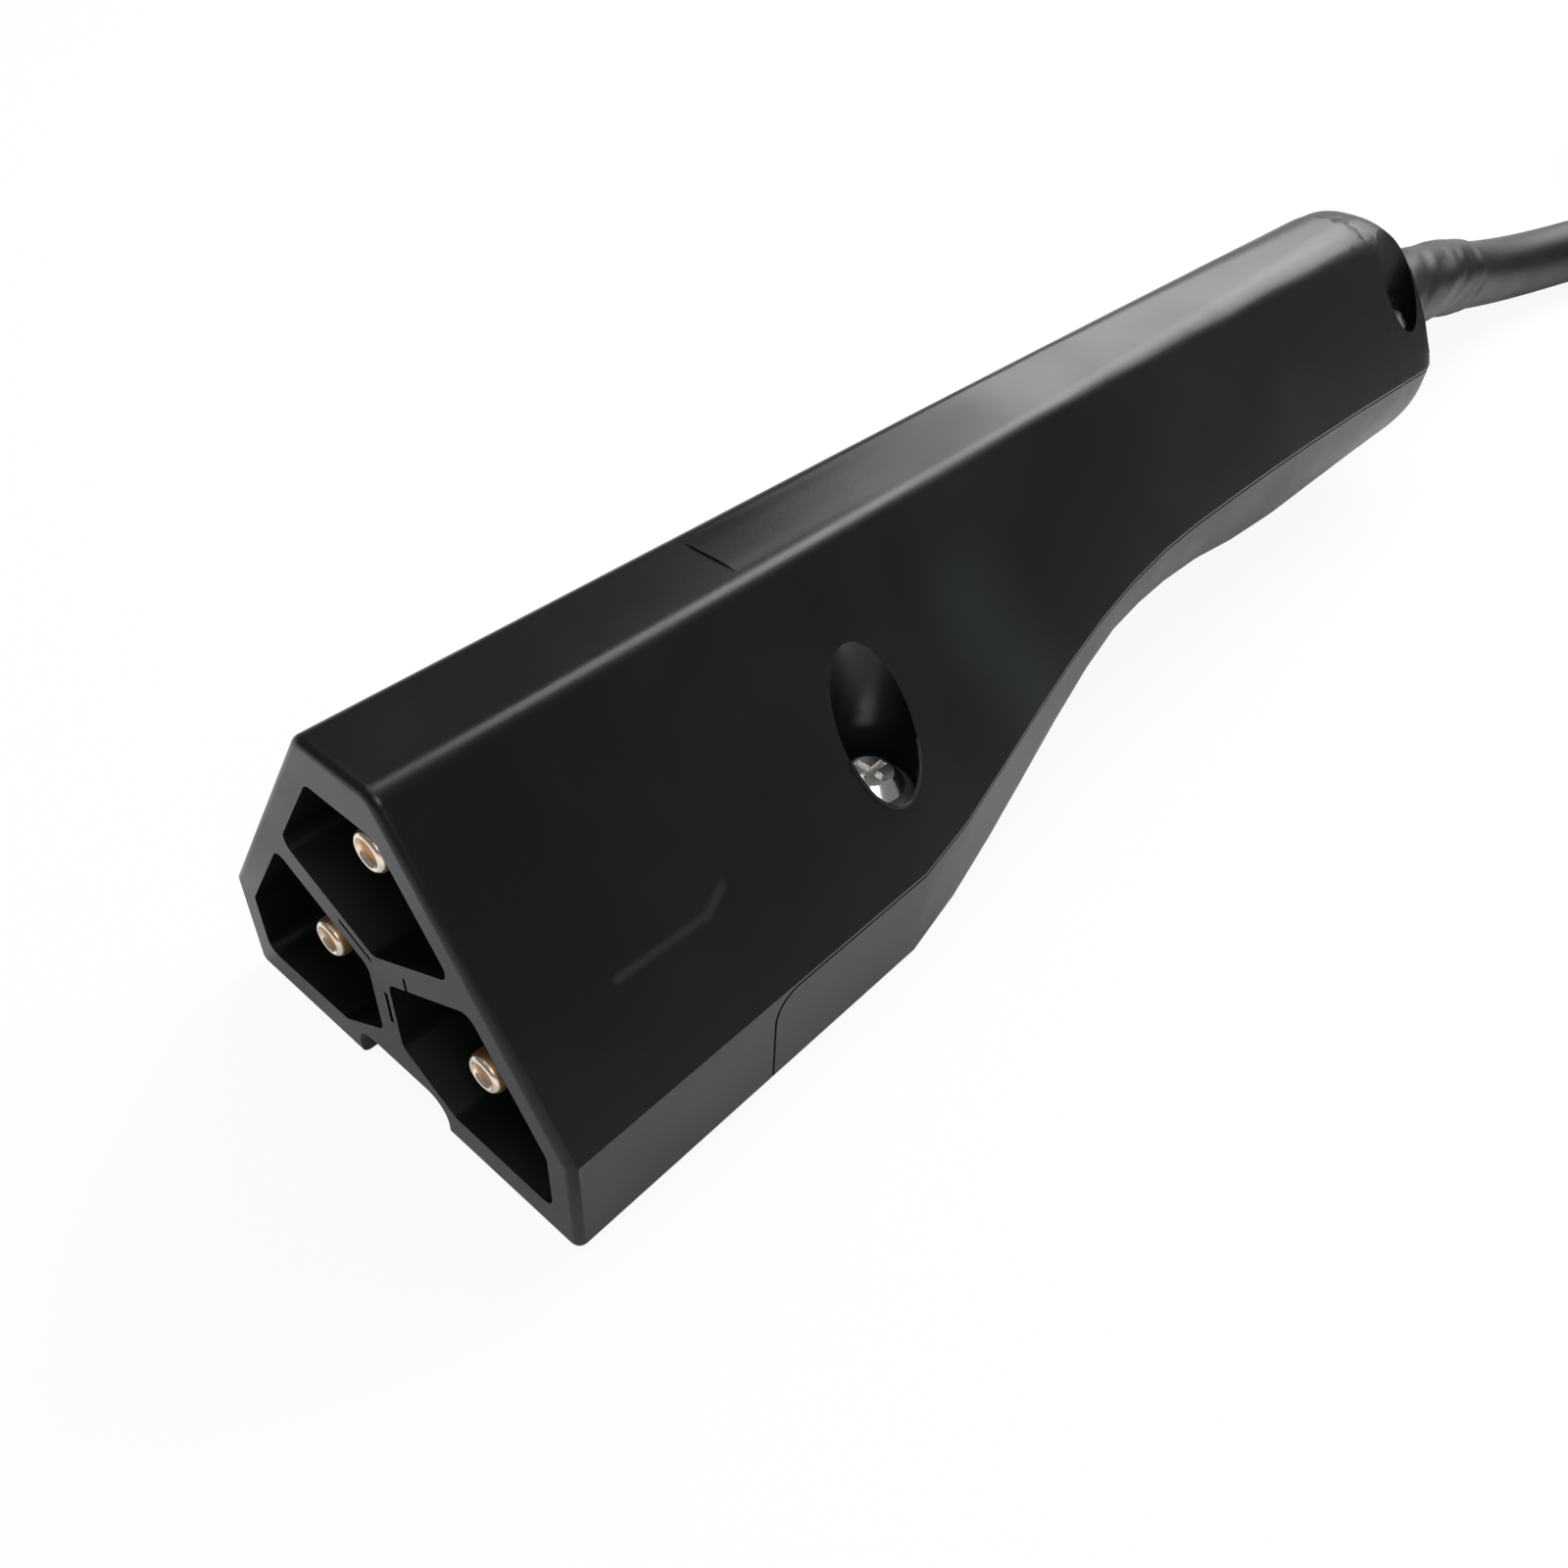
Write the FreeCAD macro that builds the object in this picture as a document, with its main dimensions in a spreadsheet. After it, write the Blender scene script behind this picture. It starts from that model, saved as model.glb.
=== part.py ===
import FreeCAD, Part

import math
import os
import re

from FreeCAD import Placement, Rotation, Vector
import Sketcher

# A three-pin charging handle plug: a moulded nose with three open cavities, a grip made of an
# upper body and a belly cover, the contacts and leads inside, and the cord with its far end.
# X runs from the nose to the tail, Z is up with the flat spine on top, and the nose's base is Z = 0.
# Shapes are drawn from the nose's front face at X = 0, and each plug piece is then placed so that
# the middle of the plug's length is the origin.

SIZES = {
    # the plug as a whole
    "plug_length": 186.0,
    "nose_height": 40.0,
    "spine_half": 4.9,
    "side_slope": 34.0,
    "wall": 3.0,
    "hollow_chamfer": 0.7,
    "fit_gap": 0.2,
    "seam_gap": 0.25,
    # section at the nose
    "nose_length": 46.0,
    "ridge_height": 12.0,
    "spine_round": 2.2,
    "base_round": 1.2,
    "rim_round": 0.9,
    "tail_rim_round": 3.5,
    # the grip: where it is slimmest, where its belly is lowest again, and the tail
    "grip_place": 108.0,
    "grip_ridge": 22.4,
    "grip_belly": 6.1,
    "belly_start": 66.0,
    "round_end": 91.0,
    "round_margin": 1.6,
    "heel_place": 140.0,
    "heel_belly": 2.8,
    "tail_ridge": 20.0,
    "spine_fade_start": 76.0,
    "tail_spine_round": 8.5,
    # cavities and keyway in the nose
    "cavity_depth": 20.0,
    "cavity_top": 35.4,
    "cavity_round": 1.4,
    "web": 2.8,
    "hub_height": 17.4,
    "web_slope": 27.7,
    "base_wall": 3.8,
    "keyway_half": 6.6,
    "keyway_height": 4.4,
    "keyway_length": 16.0,
    "keyway_round": 2.6,
    "slit": 0.5,
    "slit_depth": 1.6,
    # seam between the upper body and the belly cover, just under the widest line
    "cover_front": 24.0,
    "seam_drop": 0.35,
    "seam_corner_round": 3.0,
    # hollow behind the nose and the solid tail
    "hollow_end": 168.0,
    # contacts
    "pin_radius": 2.0,
    "pin_inset": 1.4,
    "pin_bevel": 0.5,
    "pin_dimple": 0.9,
    "pin_dimple_depth": 0.35,
    "pin_flange_radius": 3.3,
    "pin_flange": 3.0,
    "pin_crimp_radius": 2.8,
    "pin_crimp_end": 31.0,
    "pin_seat_radius": 2.4,
    "contact_gap": 0.05,
    "top_pin_height": 29.9,
    "low_pin_height": 11.4,
    "low_pin_side": 11.0,
    # carrier and retainer
    "carrier": 8.0,
    "retainer": 2.5,
    "rib_half": 4.5,
    "rib": 1.6,
    "rib_height": 7.0,
    # screws
    "case_head_radius": 3.45,
    "case_head": 2.4,
    "case_shank_radius": 1.7,
    "case_shank": 12.0,
    "case_hole_radius": 2.0,
    "clamp_head_radius": 2.6,
    "clamp_head": 1.9,
    "clamp_shank_radius": 1.4,
    "clamp_shank": 10.0,
    "screw_gap": 0.06,
    "screw_end_gap": 0.5,
    "hole_gap": 0.2,
    "cross_length": 0.95,
    "cross_width": 0.24,
    "cross_depth": 0.55,
    "head_chamfer": 0.35,
    # screw wells
    "well_radius": 4.76,
    "well_wall": 1.6,
    "well_floor": 2.5,
    "front_well_place": 47.2,
    "front_well_side": 15.1,
    "front_seat": 16.8,
    "rear_well_place": 177.0,
    "rear_well_side": 9.8,
    "rear_seat": 24.8,
    "post_radius": 3.0,
    # cord, sleeve and clamp
    "cord_radius": 6.2,
    "cord_height": 19.5,
    "channel_radius": 6.9,
    "channel_start": 160.0,
    "sleeve_radius": 6.7,
    "sleeve_gap": 0.05,
    "sleeve_start": 172.0,
    "sleeve_reach": 50.0,
    "jacket_start": 128.0,
    "clamp_place": 150.0,
    "clamp_length": 8.0,
    "clamp_side_gap": 0.84,
    "clamp_head_margin": 0.2,
    "clamp_waist": 7.8,
    "clamp_foot": 6.0,
    "clamp_ear": 3.0,
    "clamp_top": 20.0,
    "clamp_below": 2.45,
    "saddle_inset": 0.1,
    "saddle_start": 20.4,
    "saddle_gap": 0.1,
    # leads inside the plug
    "lead_radius": 2.1,
    "lead_spread": 2.6,
    "lead_bend": 43.5,
    "lead_middle": 66.0,
    "lead_middle_side": 3.0,
    "lead_middle_height": 13.0,
    "top_lead_middle_height": 26.0,
    "lead_gather": 100.0,
    # the cord's way: out of the tail, down to the floor, and on to the hank
    "first_run": 29.0,
    "fall_run": 55.0,
    "cord_rest": 6.25,
    "heading": 16.9,
    "lead_in_run": 48.0,
    "stub": 36.0,
    # the hank: turns round two folds, two turns wide and three high, and its tie
    "hank_reach": 225.0,
    "hank_side": -33.5,
    "hank_run": 62.0,
    "hank_radius": 49.8,
    "hank_inner_radius": 37.3,
    "hank_pitch": 12.5,
    "hank_margin": 0.1,
    "hank_chamfer": 3.5,
    "tie": 1.2,
    "tie_half": 9.0,
    "tie_gap": 0.05,
    "tie_turn": 40.0,
    "tie_inner_round": 1.4,
    "tie_outer_round": 4.0,
    # the last of the cord, on top of the hank
    "end_turn": 14.0,
    "end_back": 14.0,
    "end_out": 8.0,
    "end_run": 16.0,
    "end_gap": 0.15,
    # the far end, measured from the middle of its rings
    "end_height": 6.9,
    "end_place": 66.0,
    "boot_grip": 12.0,
    "boot_nose": 12.0,
    "boot_radius": 6.8,
    "boot_nose_radius": 5.4,
    "boot_chamfer": 0.8,
    "end_lead_bend": 42.0,
    "end_lead_floor": 25.0,
    "end_lead_height": 3.0,
    "ring_fan": 10.0,
    "ring_radius": 4.75,
    "ring_hole_radius": 2.65,
    "ring_plate": 1.0,
    "ring_neck_half": 2.1,
    "ring_barrel_radius": 2.95,
    "ring_barrel": 9.0,
    "ring_barrel_start": 5.0,
    "bend_step": 14.0,
}

doc = FreeCAD.newDocument("charging_plug")
sheet = doc.addObject("Spreadsheet::Sheet", "Sizes")
for row, (alias, size) in enumerate(SIZES.items(), start=1):
    sheet.set("A%d" % row, alias)
    sheet.set("B%d" % row, str(size))
    sheet.setAlias("B%d" % row, alias)
doc.recompute()


def formula(words):
    """Turns the names of sizes in a formula into references to the sheet's cells."""
    def reference(word):
        return ("Sizes." if word.group() in SIZES else "") + word.group()
    return re.sub(r"[a-z][a-z_]+", reference, words)


def value(words):
    """The number that a formula gives now."""
    return float(sheet.evalExpression(formula(words)))


def bind(thing, name, words):
    """Ties one property of an object to a formula."""
    thing.setExpression(name, formula(words))


def place(thing, x="0", y="0", z="0"):
    """Ties an object's place to three formulas."""
    for axis, words in zip("xyz", (x, y, z)):
        bind(thing, ".Placement.Base." + axis, words)


# Sketches: closed outlines with rounded corners, tied to the sheet corner by corner


def new_sketch(body, name, role, offset="0"):
    """A sketch on one of the body's own planes, moved along the plane's normal by a formula."""
    plane = next(part for part in body.Origin.OriginFeatures if part.Role == role)
    sketch = body.newObject("Sketcher::SketchObject", name)
    sketch.AttachmentSupport = [(plane, "")]
    sketch.MapMode = "FlatFace"
    if offset != "0":
        bind(sketch, ".AttachmentOffset.Base.z", offset)
    return sketch


def draw_outline(sketch, corners):
    """Draws a closed outline through corners given as (across, up, radius) formulas.

    A corner whose radius is None stays sharp.
    """
    count = len(corners)
    points = [Vector(value(across), value(up), 0) for across, up, radius in corners]
    starts, ends, arcs = [], [], []
    for index, (across, up, radius) in enumerate(corners):
        here = points[index]
        back = (points[index - 1] - here).normalize()
        ahead = (points[(index + 1) % count] - here).normalize()
        if radius is None:
            starts.append(here)
            ends.append(here)
            arcs.append(None)
            continue
        size = value(radius)
        half = back.getAngle(ahead) / 2
        reach = size / math.tan(half)
        centre = here + (back + ahead).normalize() * (size / math.sin(half))
        entry, leave = here + back * reach, here + ahead * reach
        left_turn = back.cross(ahead).z < 0
        first, last = (entry, leave) if left_turn else (leave, entry)
        angles = [math.atan2(end.y - centre.y, end.x - centre.x) for end in (first, last)]
        arcs.append((centre, size, angles, left_turn))
        starts.append(leave)
        ends.append(entry)
    lines = []
    for index, start in enumerate(starts):
        segment = Part.LineSegment(start, ends[(index + 1) % count])
        lines.append(sketch.addGeometry(segment, False))
    for index, (across, up, radius) in enumerate(corners):
        before, after = lines[index - 1], lines[index]
        if arcs[index] is None:
            sketch.addConstraint(Sketcher.Constraint("Coincident", before, 2, after, 1))
            fixed = (after, 1)
        else:
            centre, size, angles, left_turn = arcs[index]
            circle = Part.Circle(centre, Vector(0, 0, 1), size)
            arc = sketch.addGeometry(Part.ArcOfCircle(circle, angles[0], angles[1]), False)
            entry, leave = (1, 2) if left_turn else (2, 1)
            sketch.addConstraint(Sketcher.Constraint("Tangent", before, 2, arc, entry))
            sketch.addConstraint(Sketcher.Constraint("Tangent", after, 1, arc, leave))
            turn = sketch.addConstraint(Sketcher.Constraint("Radius", arc, size))
            bind(sketch, "Constraints[%d]" % turn, radius)
            vertex = sketch.addGeometry(Part.Point(points[index]), True)
            sketch.addConstraint(Sketcher.Constraint("PointOnObject", vertex, 1, before))
            sketch.addConstraint(Sketcher.Constraint("PointOnObject", vertex, 1, after))
            fixed = (vertex, 1)
        spot = points[index]
        for kind, words, number in (("DistanceX", across, spot.x), ("DistanceY", up, spot.y)):
            hold = sketch.addConstraint(Sketcher.Constraint(kind, -1, 1, fixed[0], fixed[1], number))
            bind(sketch, "Constraints[%d]" % hold, words)


# Solids made from those sketches


def new_body(name):
    return doc.addObject("PartDesign::Body", name)


def pad(body, name, sketch, length, both=False):
    """Extrudes a sketch along its normal, or to both sides of it."""
    feature = body.newObject("PartDesign::Pad", name)
    feature.Profile = sketch
    feature.Midplane = both
    bind(feature, "Length", length)


def pocket(body, name, sketch, length):
    """Cuts a sketch's outline out of the body, along the sketch's normal."""
    feature = body.newObject("PartDesign::Pocket", name)
    feature.Profile = sketch
    feature.Reversed = True
    bind(feature, "Length", length)


def turned(name, corners, span=360):
    """A body turned about its own Z axis from corners given as (radius, height, round).

    A span under the full turn lies evenly on both sides of the body's X axis.
    """
    body = new_body(name)
    sketch = new_sketch(body, name + "_profile", "XZ_Plane")
    draw_outline(sketch, corners)
    feature = body.newObject("PartDesign::Revolution", name + "_turning")
    feature.Profile = sketch
    feature.ReferenceAxis = (sketch, ["V_Axis"])
    feature.Angle = span
    feature.Midplane = span < 360
    return body


def cylinder(name, radius, height, x, y, z, along_x=False):
    """A cylinder standing on Z, or lying along X."""
    solid = doc.addObject("Part::Cylinder", name)
    bind(solid, "Radius", radius)
    bind(solid, "Height", height)
    if along_x:
        solid.Placement = Placement(Vector(), Rotation(Vector(0, 1, 0), 90))
    place(solid, x, y, z)
    return solid


def block(name, length, width, height, x, y, z):
    solid = doc.addObject("Part::Box", name)
    bind(solid, "Length", length)
    bind(solid, "Width", width)
    bind(solid, "Height", height)
    place(solid, x, y, z)
    return solid


def cut(name, base, tool):
    solid = doc.addObject("Part::Cut", name)
    solid.Base = base
    solid.Tool = tool
    return solid


def common(name, base, tool):
    solid = doc.addObject("Part::Common", name)
    solid.Base = base
    solid.Tool = tool
    return solid


def fuse(name, solids):
    solid = doc.addObject("Part::MultiFuse", name)
    solid.Shapes = solids
    return solid


def group(name, solids):
    """Separate solids that share one node."""
    compound = doc.addObject("Part::Compound", name)
    compound.Links = solids
    return compound


# The plug's outer form and its hollow, both from the same sections


def progress(where, start, end):
    """How far a place has come from a start to an end, from 0 to 1, as a formula."""
    return "min(max((%s - %s) / (%s - %s), 0), 1)" % (where, start, end, start)


def eased(share):
    """The same share with a soft start and a soft end."""
    return "(0.5 - 0.5 * cos(180 deg * %s))" % share


def ridge_line(where):
    """The height of the widest line at a place along the plug."""
    rise = eased(progress(where, "nose_length", "grip_place") + "^0.72")
    fall = progress(where, "grip_place", "plug_length") + "^2"
    ridge = "(ridge_height + (grip_ridge - ridge_height) * %s - (grip_ridge - tail_ridge) * %s)"
    return ridge % (rise, fall)


def half_width(where):
    """Half the width at the widest line, where the two sloping sides end."""
    return "(spine_half + (nose_height - %s) * tan(side_slope * 1 deg))" % ridge_line(where)


def section_corners(where, inset="0", plain=False):
    """The corners of the cross-section at a place along the plug, all moved inwards by the inset.

    The sides lie on one sloping plane along the whole plug, so the half-width follows from the
    height of the widest line. A plain section has chamfers below and sharp corners above.
    """
    ridge = ridge_line(where)
    lift = eased(progress(where, "belly_start", "grip_place"))
    drop = eased(progress(where, "grip_place", "heel_place"))
    belly = "(grip_belly * %s - (grip_belly - heel_belly) * %s)" % (lift, drop)
    full_half = half_width(where)
    share = progress(where, "nose_length", "round_end")
    belly_full = "(min(%s, %s - %s) - round_margin)" % (full_half, ridge, belly)
    belly_round = "(base_round + (%s - base_round) * %s * (1.2 - 0.2 * %s))" % (belly_full, share, share)
    fade = progress(where, "spine_fade_start", "plug_length") + "^1.5"
    top_round = "max(spine_round + (tail_spine_round - spine_round) * %s - (%s), 0.6)" % (fade, inset)
    low_round = "max(%s - (%s), 0.8)" % (belly_round, inset)
    spine = "(spine_half - (%s) * tan(45 deg - side_slope * 0.5 deg))" % inset
    line = "(%s - (%s) * tan(side_slope * 0.5 deg))" % (ridge, inset)
    side, base = "(%s - (%s))" % (full_half, inset), "(%s + (%s))" % (belly, inset)
    if plain:
        chamfer = "(%s * hollow_chamfer)" % low_round
        low = [("(%s - %s)" % (side, chamfer), base, None), (side, "(%s + %s)" % (base, chamfer), None)]
    else:
        low = [(side, base, low_round)]
    right = low + [(side, line, None), (spine, "(nose_height - (%s))" % inset, None if plain else top_round)]
    return right + [("-" + across, up, turn) for across, up, turn in reversed(right)]


def grip_places(end, counts):
    """The places of the sections between the nose and an end, closer where the form changes faster."""
    stops = ("nose_length", "grip_place", "heel_place", end)
    runs = zip(stops, stops[1:], counts)
    places = []
    for start, finish, count in runs:
        for step in range(1, count + 1):
            places.append("(%s + (%s - %s) * %d / %d)" % (start, finish, start, step, count))
    return places


def envelope(name, start, end, counts, inset="0", plain=False, rim_round=None, end_round=None):
    """The plug's outer form, or with an inset its hollow, from one place to another."""
    body = new_body(name)
    nose = new_sketch(body, name + "_nose_section", "YZ_Plane", start)
    draw_outline(nose, section_corners("0", inset, plain))
    pad(body, name + "_nose", nose, "nose_length - (%s)" % start)
    if rim_round is not None:
        doc.recompute()
        fillet(body, name + "_rim", edges_at(body, 0), rim_round)
    last = end if end_round is None else "(%s - %s)" % (end, end_round)
    spots = [(spot, inset) for spot in ["nose_length"] + grip_places(last, counts)]
    if end_round is not None:
        for angle in (30, 60, 90):
            reach = "(%s + %s * sin(%d deg))" % (last, end_round, angle)
            spots.append((reach, "(%s + %s * (1 - cos(%d deg)))" % (inset, end_round, angle)))
    sketches = []
    for index, (spot, depth) in enumerate(spots):
        sketch = new_sketch(body, "%s_section_%d" % (name, index), "YZ_Plane", spot)
        draw_outline(sketch, section_corners(spot, depth, plain))
        sketches.append(sketch)
    grip = body.newObject("PartDesign::AdditiveLoft", name + "_grip")
    grip.Profile = sketches[0]
    grip.Sections = sketches[1:]
    grip.Ruled = True
    return body


def nose_cavities(body):
    """Three open cavities with webs between them, from the front face."""
    slope_y = "(spine_half + (nose_height - %s) * tan(side_slope * 1 deg) - wall / cos(side_slope * 1 deg))"
    lift = "tan(web_slope * 1 deg)"
    web_rise = "(web * 0.5 / cos(web_slope * 1 deg))"
    side_top = "(spine_half + nose_height * tan(side_slope * 1 deg) - wall / cos(side_slope * 1 deg))"
    run = "(tan(side_slope * 1 deg) * %s + 1)" % lift
    # the upper cavity is bounded by the top, both sloping sides and both webs
    apex = "(hub_height + %s)" % web_rise
    wide = "((%s - tan(side_slope * 1 deg) * %s) / %s)" % (side_top, apex, run)
    wide_height = "(%s + %s * %s)" % (apex, wide, lift)
    top_half = slope_y % "cavity_top"
    corners = [
        ("0", apex, "cavity_round"),
        (wide, wide_height, "cavity_round"),
        (top_half, "cavity_top", "cavity_round"),
    ]
    corners += [("-" + across, up, turn) for across, up, turn in reversed(corners[1:])]
    cavity_pocket(body, "top_cavity", corners)
    # each lower cavity lies between the web above, the middle web, the side and the keyway
    under = "(hub_height - %s)" % web_rise
    peak = "((%s - tan(side_slope * 1 deg) * %s) / %s)" % (side_top, under, run)
    peak_height = "(%s + %s * %s)" % (under, peak, lift)
    half = "(spine_half + (nose_height - ridge_height) * tan(side_slope * 1 deg) - wall)"
    shoulder = "(ridge_height - wall * tan(side_slope * 0.5 deg))"
    middle = "(web * 0.5)"
    over_key = "(keyway_height + base_wall)"
    side = [
        (middle, over_key, "cavity_round"),
        ("(keyway_half + 1.4)", "(base_wall + 0.2)", "cavity_round"),
        (half, "base_wall", "cavity_round"),
        (half, shoulder, "cavity_round"),
        (peak, peak_height, "cavity_round"),
        (middle, "(%s + %s * %s)" % (under, middle, lift), "cavity_round"),
    ]
    cavity_pocket(body, "right_cavity", side)
    cavity_pocket(body, "left_cavity", [("-" + across, up, turn) for across, up, turn in reversed(side)])


def cavity_pocket(body, name, corners):
    sketch = new_sketch(body, name + "_outline", "YZ_Plane")
    draw_outline(sketch, corners)
    pocket(body, name, sketch, "cavity_depth + 1")


def keyway(body):
    """The rounded groove under the nose that keys the plug to its socket."""
    sketch = new_sketch(body, "keyway_outline", "YZ_Plane")
    draw_outline(sketch, [
        ("-keyway_half", "-2", None), ("keyway_half", "-2", None),
        ("keyway_half", "keyway_height", "keyway_round"), ("-keyway_half", "keyway_height", "keyway_round"),
    ])
    pocket(body, "keyway", sketch, "keyway_length")


def slits(body):
    """Three fine slits in the front edges of the webs."""
    sketch = new_sketch(body, "slit_outline", "YZ_Plane")
    draw_outline(sketch, [
        ("-0.35 - slit", "10.9", None), ("-0.35", "10.9", None),
        ("-0.35", "14.9", None), ("-0.35 - slit", "14.9", None),
    ])
    pocket(body, "slit_in_middle_web", sketch, "slit_depth")
    angled = new_sketch(body, "angled_slit_outline", "YZ_Plane")
    rise = "tan(web_slope * 1 deg)"
    draw_outline(angled, [
        ("0.6", "hub_height + 0.6 * %s" % rise, None),
        ("4.6", "hub_height + 4.6 * %s" % rise, None),
        ("4.6", "hub_height + 4.6 * %s + slit" % rise, None),
        ("0.6", "hub_height + 0.6 * %s + slit" % rise, None),
    ])
    pocket(body, "slit_in_far_web", angled, "slit_depth")
    short = new_sketch(body, "short_slit_outline", "YZ_Plane")
    draw_outline(short, [
        ("-4.4", "hub_height + 0.6", None), ("-4.0", "hub_height + 0.6", None),
        ("-4.0", "hub_height + 2.2", None), ("-4.4", "hub_height + 2.2", None),
    ])
    pocket(body, "slit_in_near_web", short, "slit_depth")


def edges_at(body, place_x):
    """The names of a body's edges that lie wholly in one plane across the plug."""
    names = []
    for index, edge in enumerate(body.Shape.Edges, start=1):
        box = edge.BoundBox
        if abs(box.XMin - place_x) < 0.001 and abs(box.XMax - place_x) < 0.001:
            names.append("Edge%d" % index)
    return names


def fillet(body, name, edges, radius):
    base = body.Tip
    feature = body.newObject("PartDesign::Fillet", name)
    feature.Base = (base, edges)
    bind(feature, "Radius", radius)


GRIP_STEPS = (8, 3, 3)
HOLLOW_STEPS = (5, 2, 2)


def outer_form():
    body = envelope("outer_form", "0", "plug_length", GRIP_STEPS, rim_round="rim_round",
                    end_round="tail_rim_round")
    nose_cavities(body)
    keyway(body)
    slits(body)
    return body


outer = outer_form()
hollow = envelope("hollow", "cavity_depth", "hollow_end", HOLLOW_STEPS, inset="wall", plain=True)
shell = cut("shell", outer, hollow)


# The seam between the two mouldings, drawn from the side


def seam_region(name, gap):
    """Everything below the seam, set back from it by a gap."""
    body = new_body(name)
    sketch = new_sketch(body, name + "_outline", "XZ_Plane")
    top = "%s - seam_drop - (" + gap + ")"
    stops = ["nose_length"] + grip_places("plug_length", GRIP_STEPS)
    corners = [("cover_front + %s" % gap, "-5", None), ("plug_length + 5", "-5", None)]
    corners.append(("plug_length + 5", top % "tail_ridge", None))
    corners += [(stop, top % ridge_line(stop), None) for stop in reversed(stops)]
    corners.append(("cover_front + %s" % gap, top % "ridge_height", "seam_corner_round"))
    draw_outline(sketch, corners)
    pad(body, name + "_sides", sketch, "60", both=True)
    return body


upper_half = cut("upper_half", shell, seam_region("below_seam", "0"))
lower_half = common("lower_half", shell, seam_region("cover_region", "seam_gap"))
wells = []
scoops = []
posts = []
pilots = []
sides = (("right", "1"), ("left", "-1"))
for side, sign in sides:
    front = ("front_well_place", "front_well_side * %s" % sign)
    rear = ("rear_well_place", "rear_well_side * %s" % sign)
    wells.append(cylinder("well_" + side, "well_radius + well_wall", "nose_height", *front,
                          "front_seat - well_floor"))
    posts.append(cylinder("post_" + side, "post_radius", "front_seat - well_floor - wall * 0.5", *front,
                          "wall * 0.5"))
    for name, spot, seat in (("front_" + side, front, "front_seat"), ("rear_" + side, rear, "rear_seat")):
        scoops.append(cylinder("scoop_" + name, "well_radius", "nose_height", *spot, seat))
        scoops.append(cylinder("hole_" + name, "case_hole_radius", "case_shank * 0.6", *spot,
                               seat + " - case_shank * 0.5"))
        depth = "case_shank + screw_end_gap"
        pilots.append(cylinder("pilot_" + name, "case_shank_radius + screw_gap", depth, *spot,
                               seat + " - (%s)" % depth))

# the clamp is as wide as the hollow leaves room for, its screws stand near its ends
clamp_half = "(%s - wall - clamp_side_gap)" % half_width("clamp_place")
clamp_side = "(%s - clamp_head_radius - clamp_head_margin)" % clamp_half
saddle_half = "(%s - saddle_inset)" % clamp_half
saddle = block("saddle", "clamp_length", saddle_half + " * 2", "nose_height",
               "clamp_place", "-" + saddle_half, "saddle_start")
rib_place = "cavity_depth + carrier + retainer + fit_gap"
upper_rib = block("upper_rib", "rib", "rib_half * 2", "rib_height", rib_place, "-rib_half",
                  "nose_height - rib_height")
cover_rib = block("cover_rib", "rib", "rib_half * 2", "rib_height - 1", rib_place, "-rib_half", "1")
inside_parts = common("well_and_saddle_bodies", fuse("inside_blocks", wells + [saddle, upper_rib]), outer)
channel = cylinder("tail_channel", "channel_radius", "plug_length",
                   "channel_start", "0", "cord_height", along_x=True)
saddle_channel = cylinder("saddle_channel", "cord_radius + saddle_gap", "clamp_length + 4",
                          "clamp_place - 2", "0", "cord_height", along_x=True)
saddle_pilots = []
for side, sign in sides:
    spot = ("clamp_place + clamp_length * 0.5", "%s * %s" % (clamp_side, sign))
    depth = "clamp_shank - clamp_ear + screw_end_gap"
    saddle_pilots.append(cylinder("saddle_pilot_" + side, "clamp_shank_radius + screw_gap", depth,
                                  *spot, "clamp_top"))

upper_solid = fuse("upper_solid", [upper_half, inside_parts])
upper_cuts = fuse("upper_cuts", scoops + saddle_pilots + [channel, saddle_channel])
upper_body = cut("upper_body", upper_solid, upper_cuts)
post_bodies = common("post_bodies", fuse("post_blocks", posts + [cover_rib]), outer)
cover_solid = fuse("cover_solid", [lower_half, post_bodies])
belly_cover = cut("belly_cover", cover_solid, fuse("cover_cuts", pilots + [channel]))


# Contacts, their carrier and the plate behind it


CONTACTS = (
    ("top", "0", "top_pin_height"),
    ("right", "low_pin_side", "low_pin_height"),
    ("left", "-low_pin_side", "low_pin_height"),
)
AXIS_ALONG_X = Rotation(Vector(0, 1, 0), 90)


def contact_pin(name, across, up):
    flange_start = "(cavity_depth + carrier - pin_flange)"
    flange_end = "(cavity_depth + carrier)"
    pin = turned(name, [
        ("0", "pin_inset + pin_dimple_depth", None),
        ("pin_dimple", "pin_inset", None),
        ("pin_radius - pin_bevel", "pin_inset", None),
        ("pin_radius", "pin_inset + pin_bevel", None),
        ("pin_radius", "cavity_depth", None),
        ("pin_seat_radius", "cavity_depth", None),
        ("pin_seat_radius", flange_start, None),
        ("pin_flange_radius", flange_start, None),
        ("pin_flange_radius", flange_end, None),
        ("pin_crimp_radius", flange_end, None),
        ("pin_crimp_radius", "pin_crimp_end", None),
        ("0", "pin_crimp_end", None),
    ])
    pin.Placement = Placement(Vector(), AXIS_ALONG_X)
    place(pin, "-plug_length / 2", across, up)
    return pin


def nose_plate(name, start, thickness, inset):
    """A plate that follows the nose's section inside the hollow."""
    body = new_body(name)
    sketch = new_sketch(body, name + "_outline", "YZ_Plane", start)
    draw_outline(sketch, section_corners("0", inset, plain=True))
    pad(body, name + "_plate", sketch, thickness)
    return body


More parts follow.
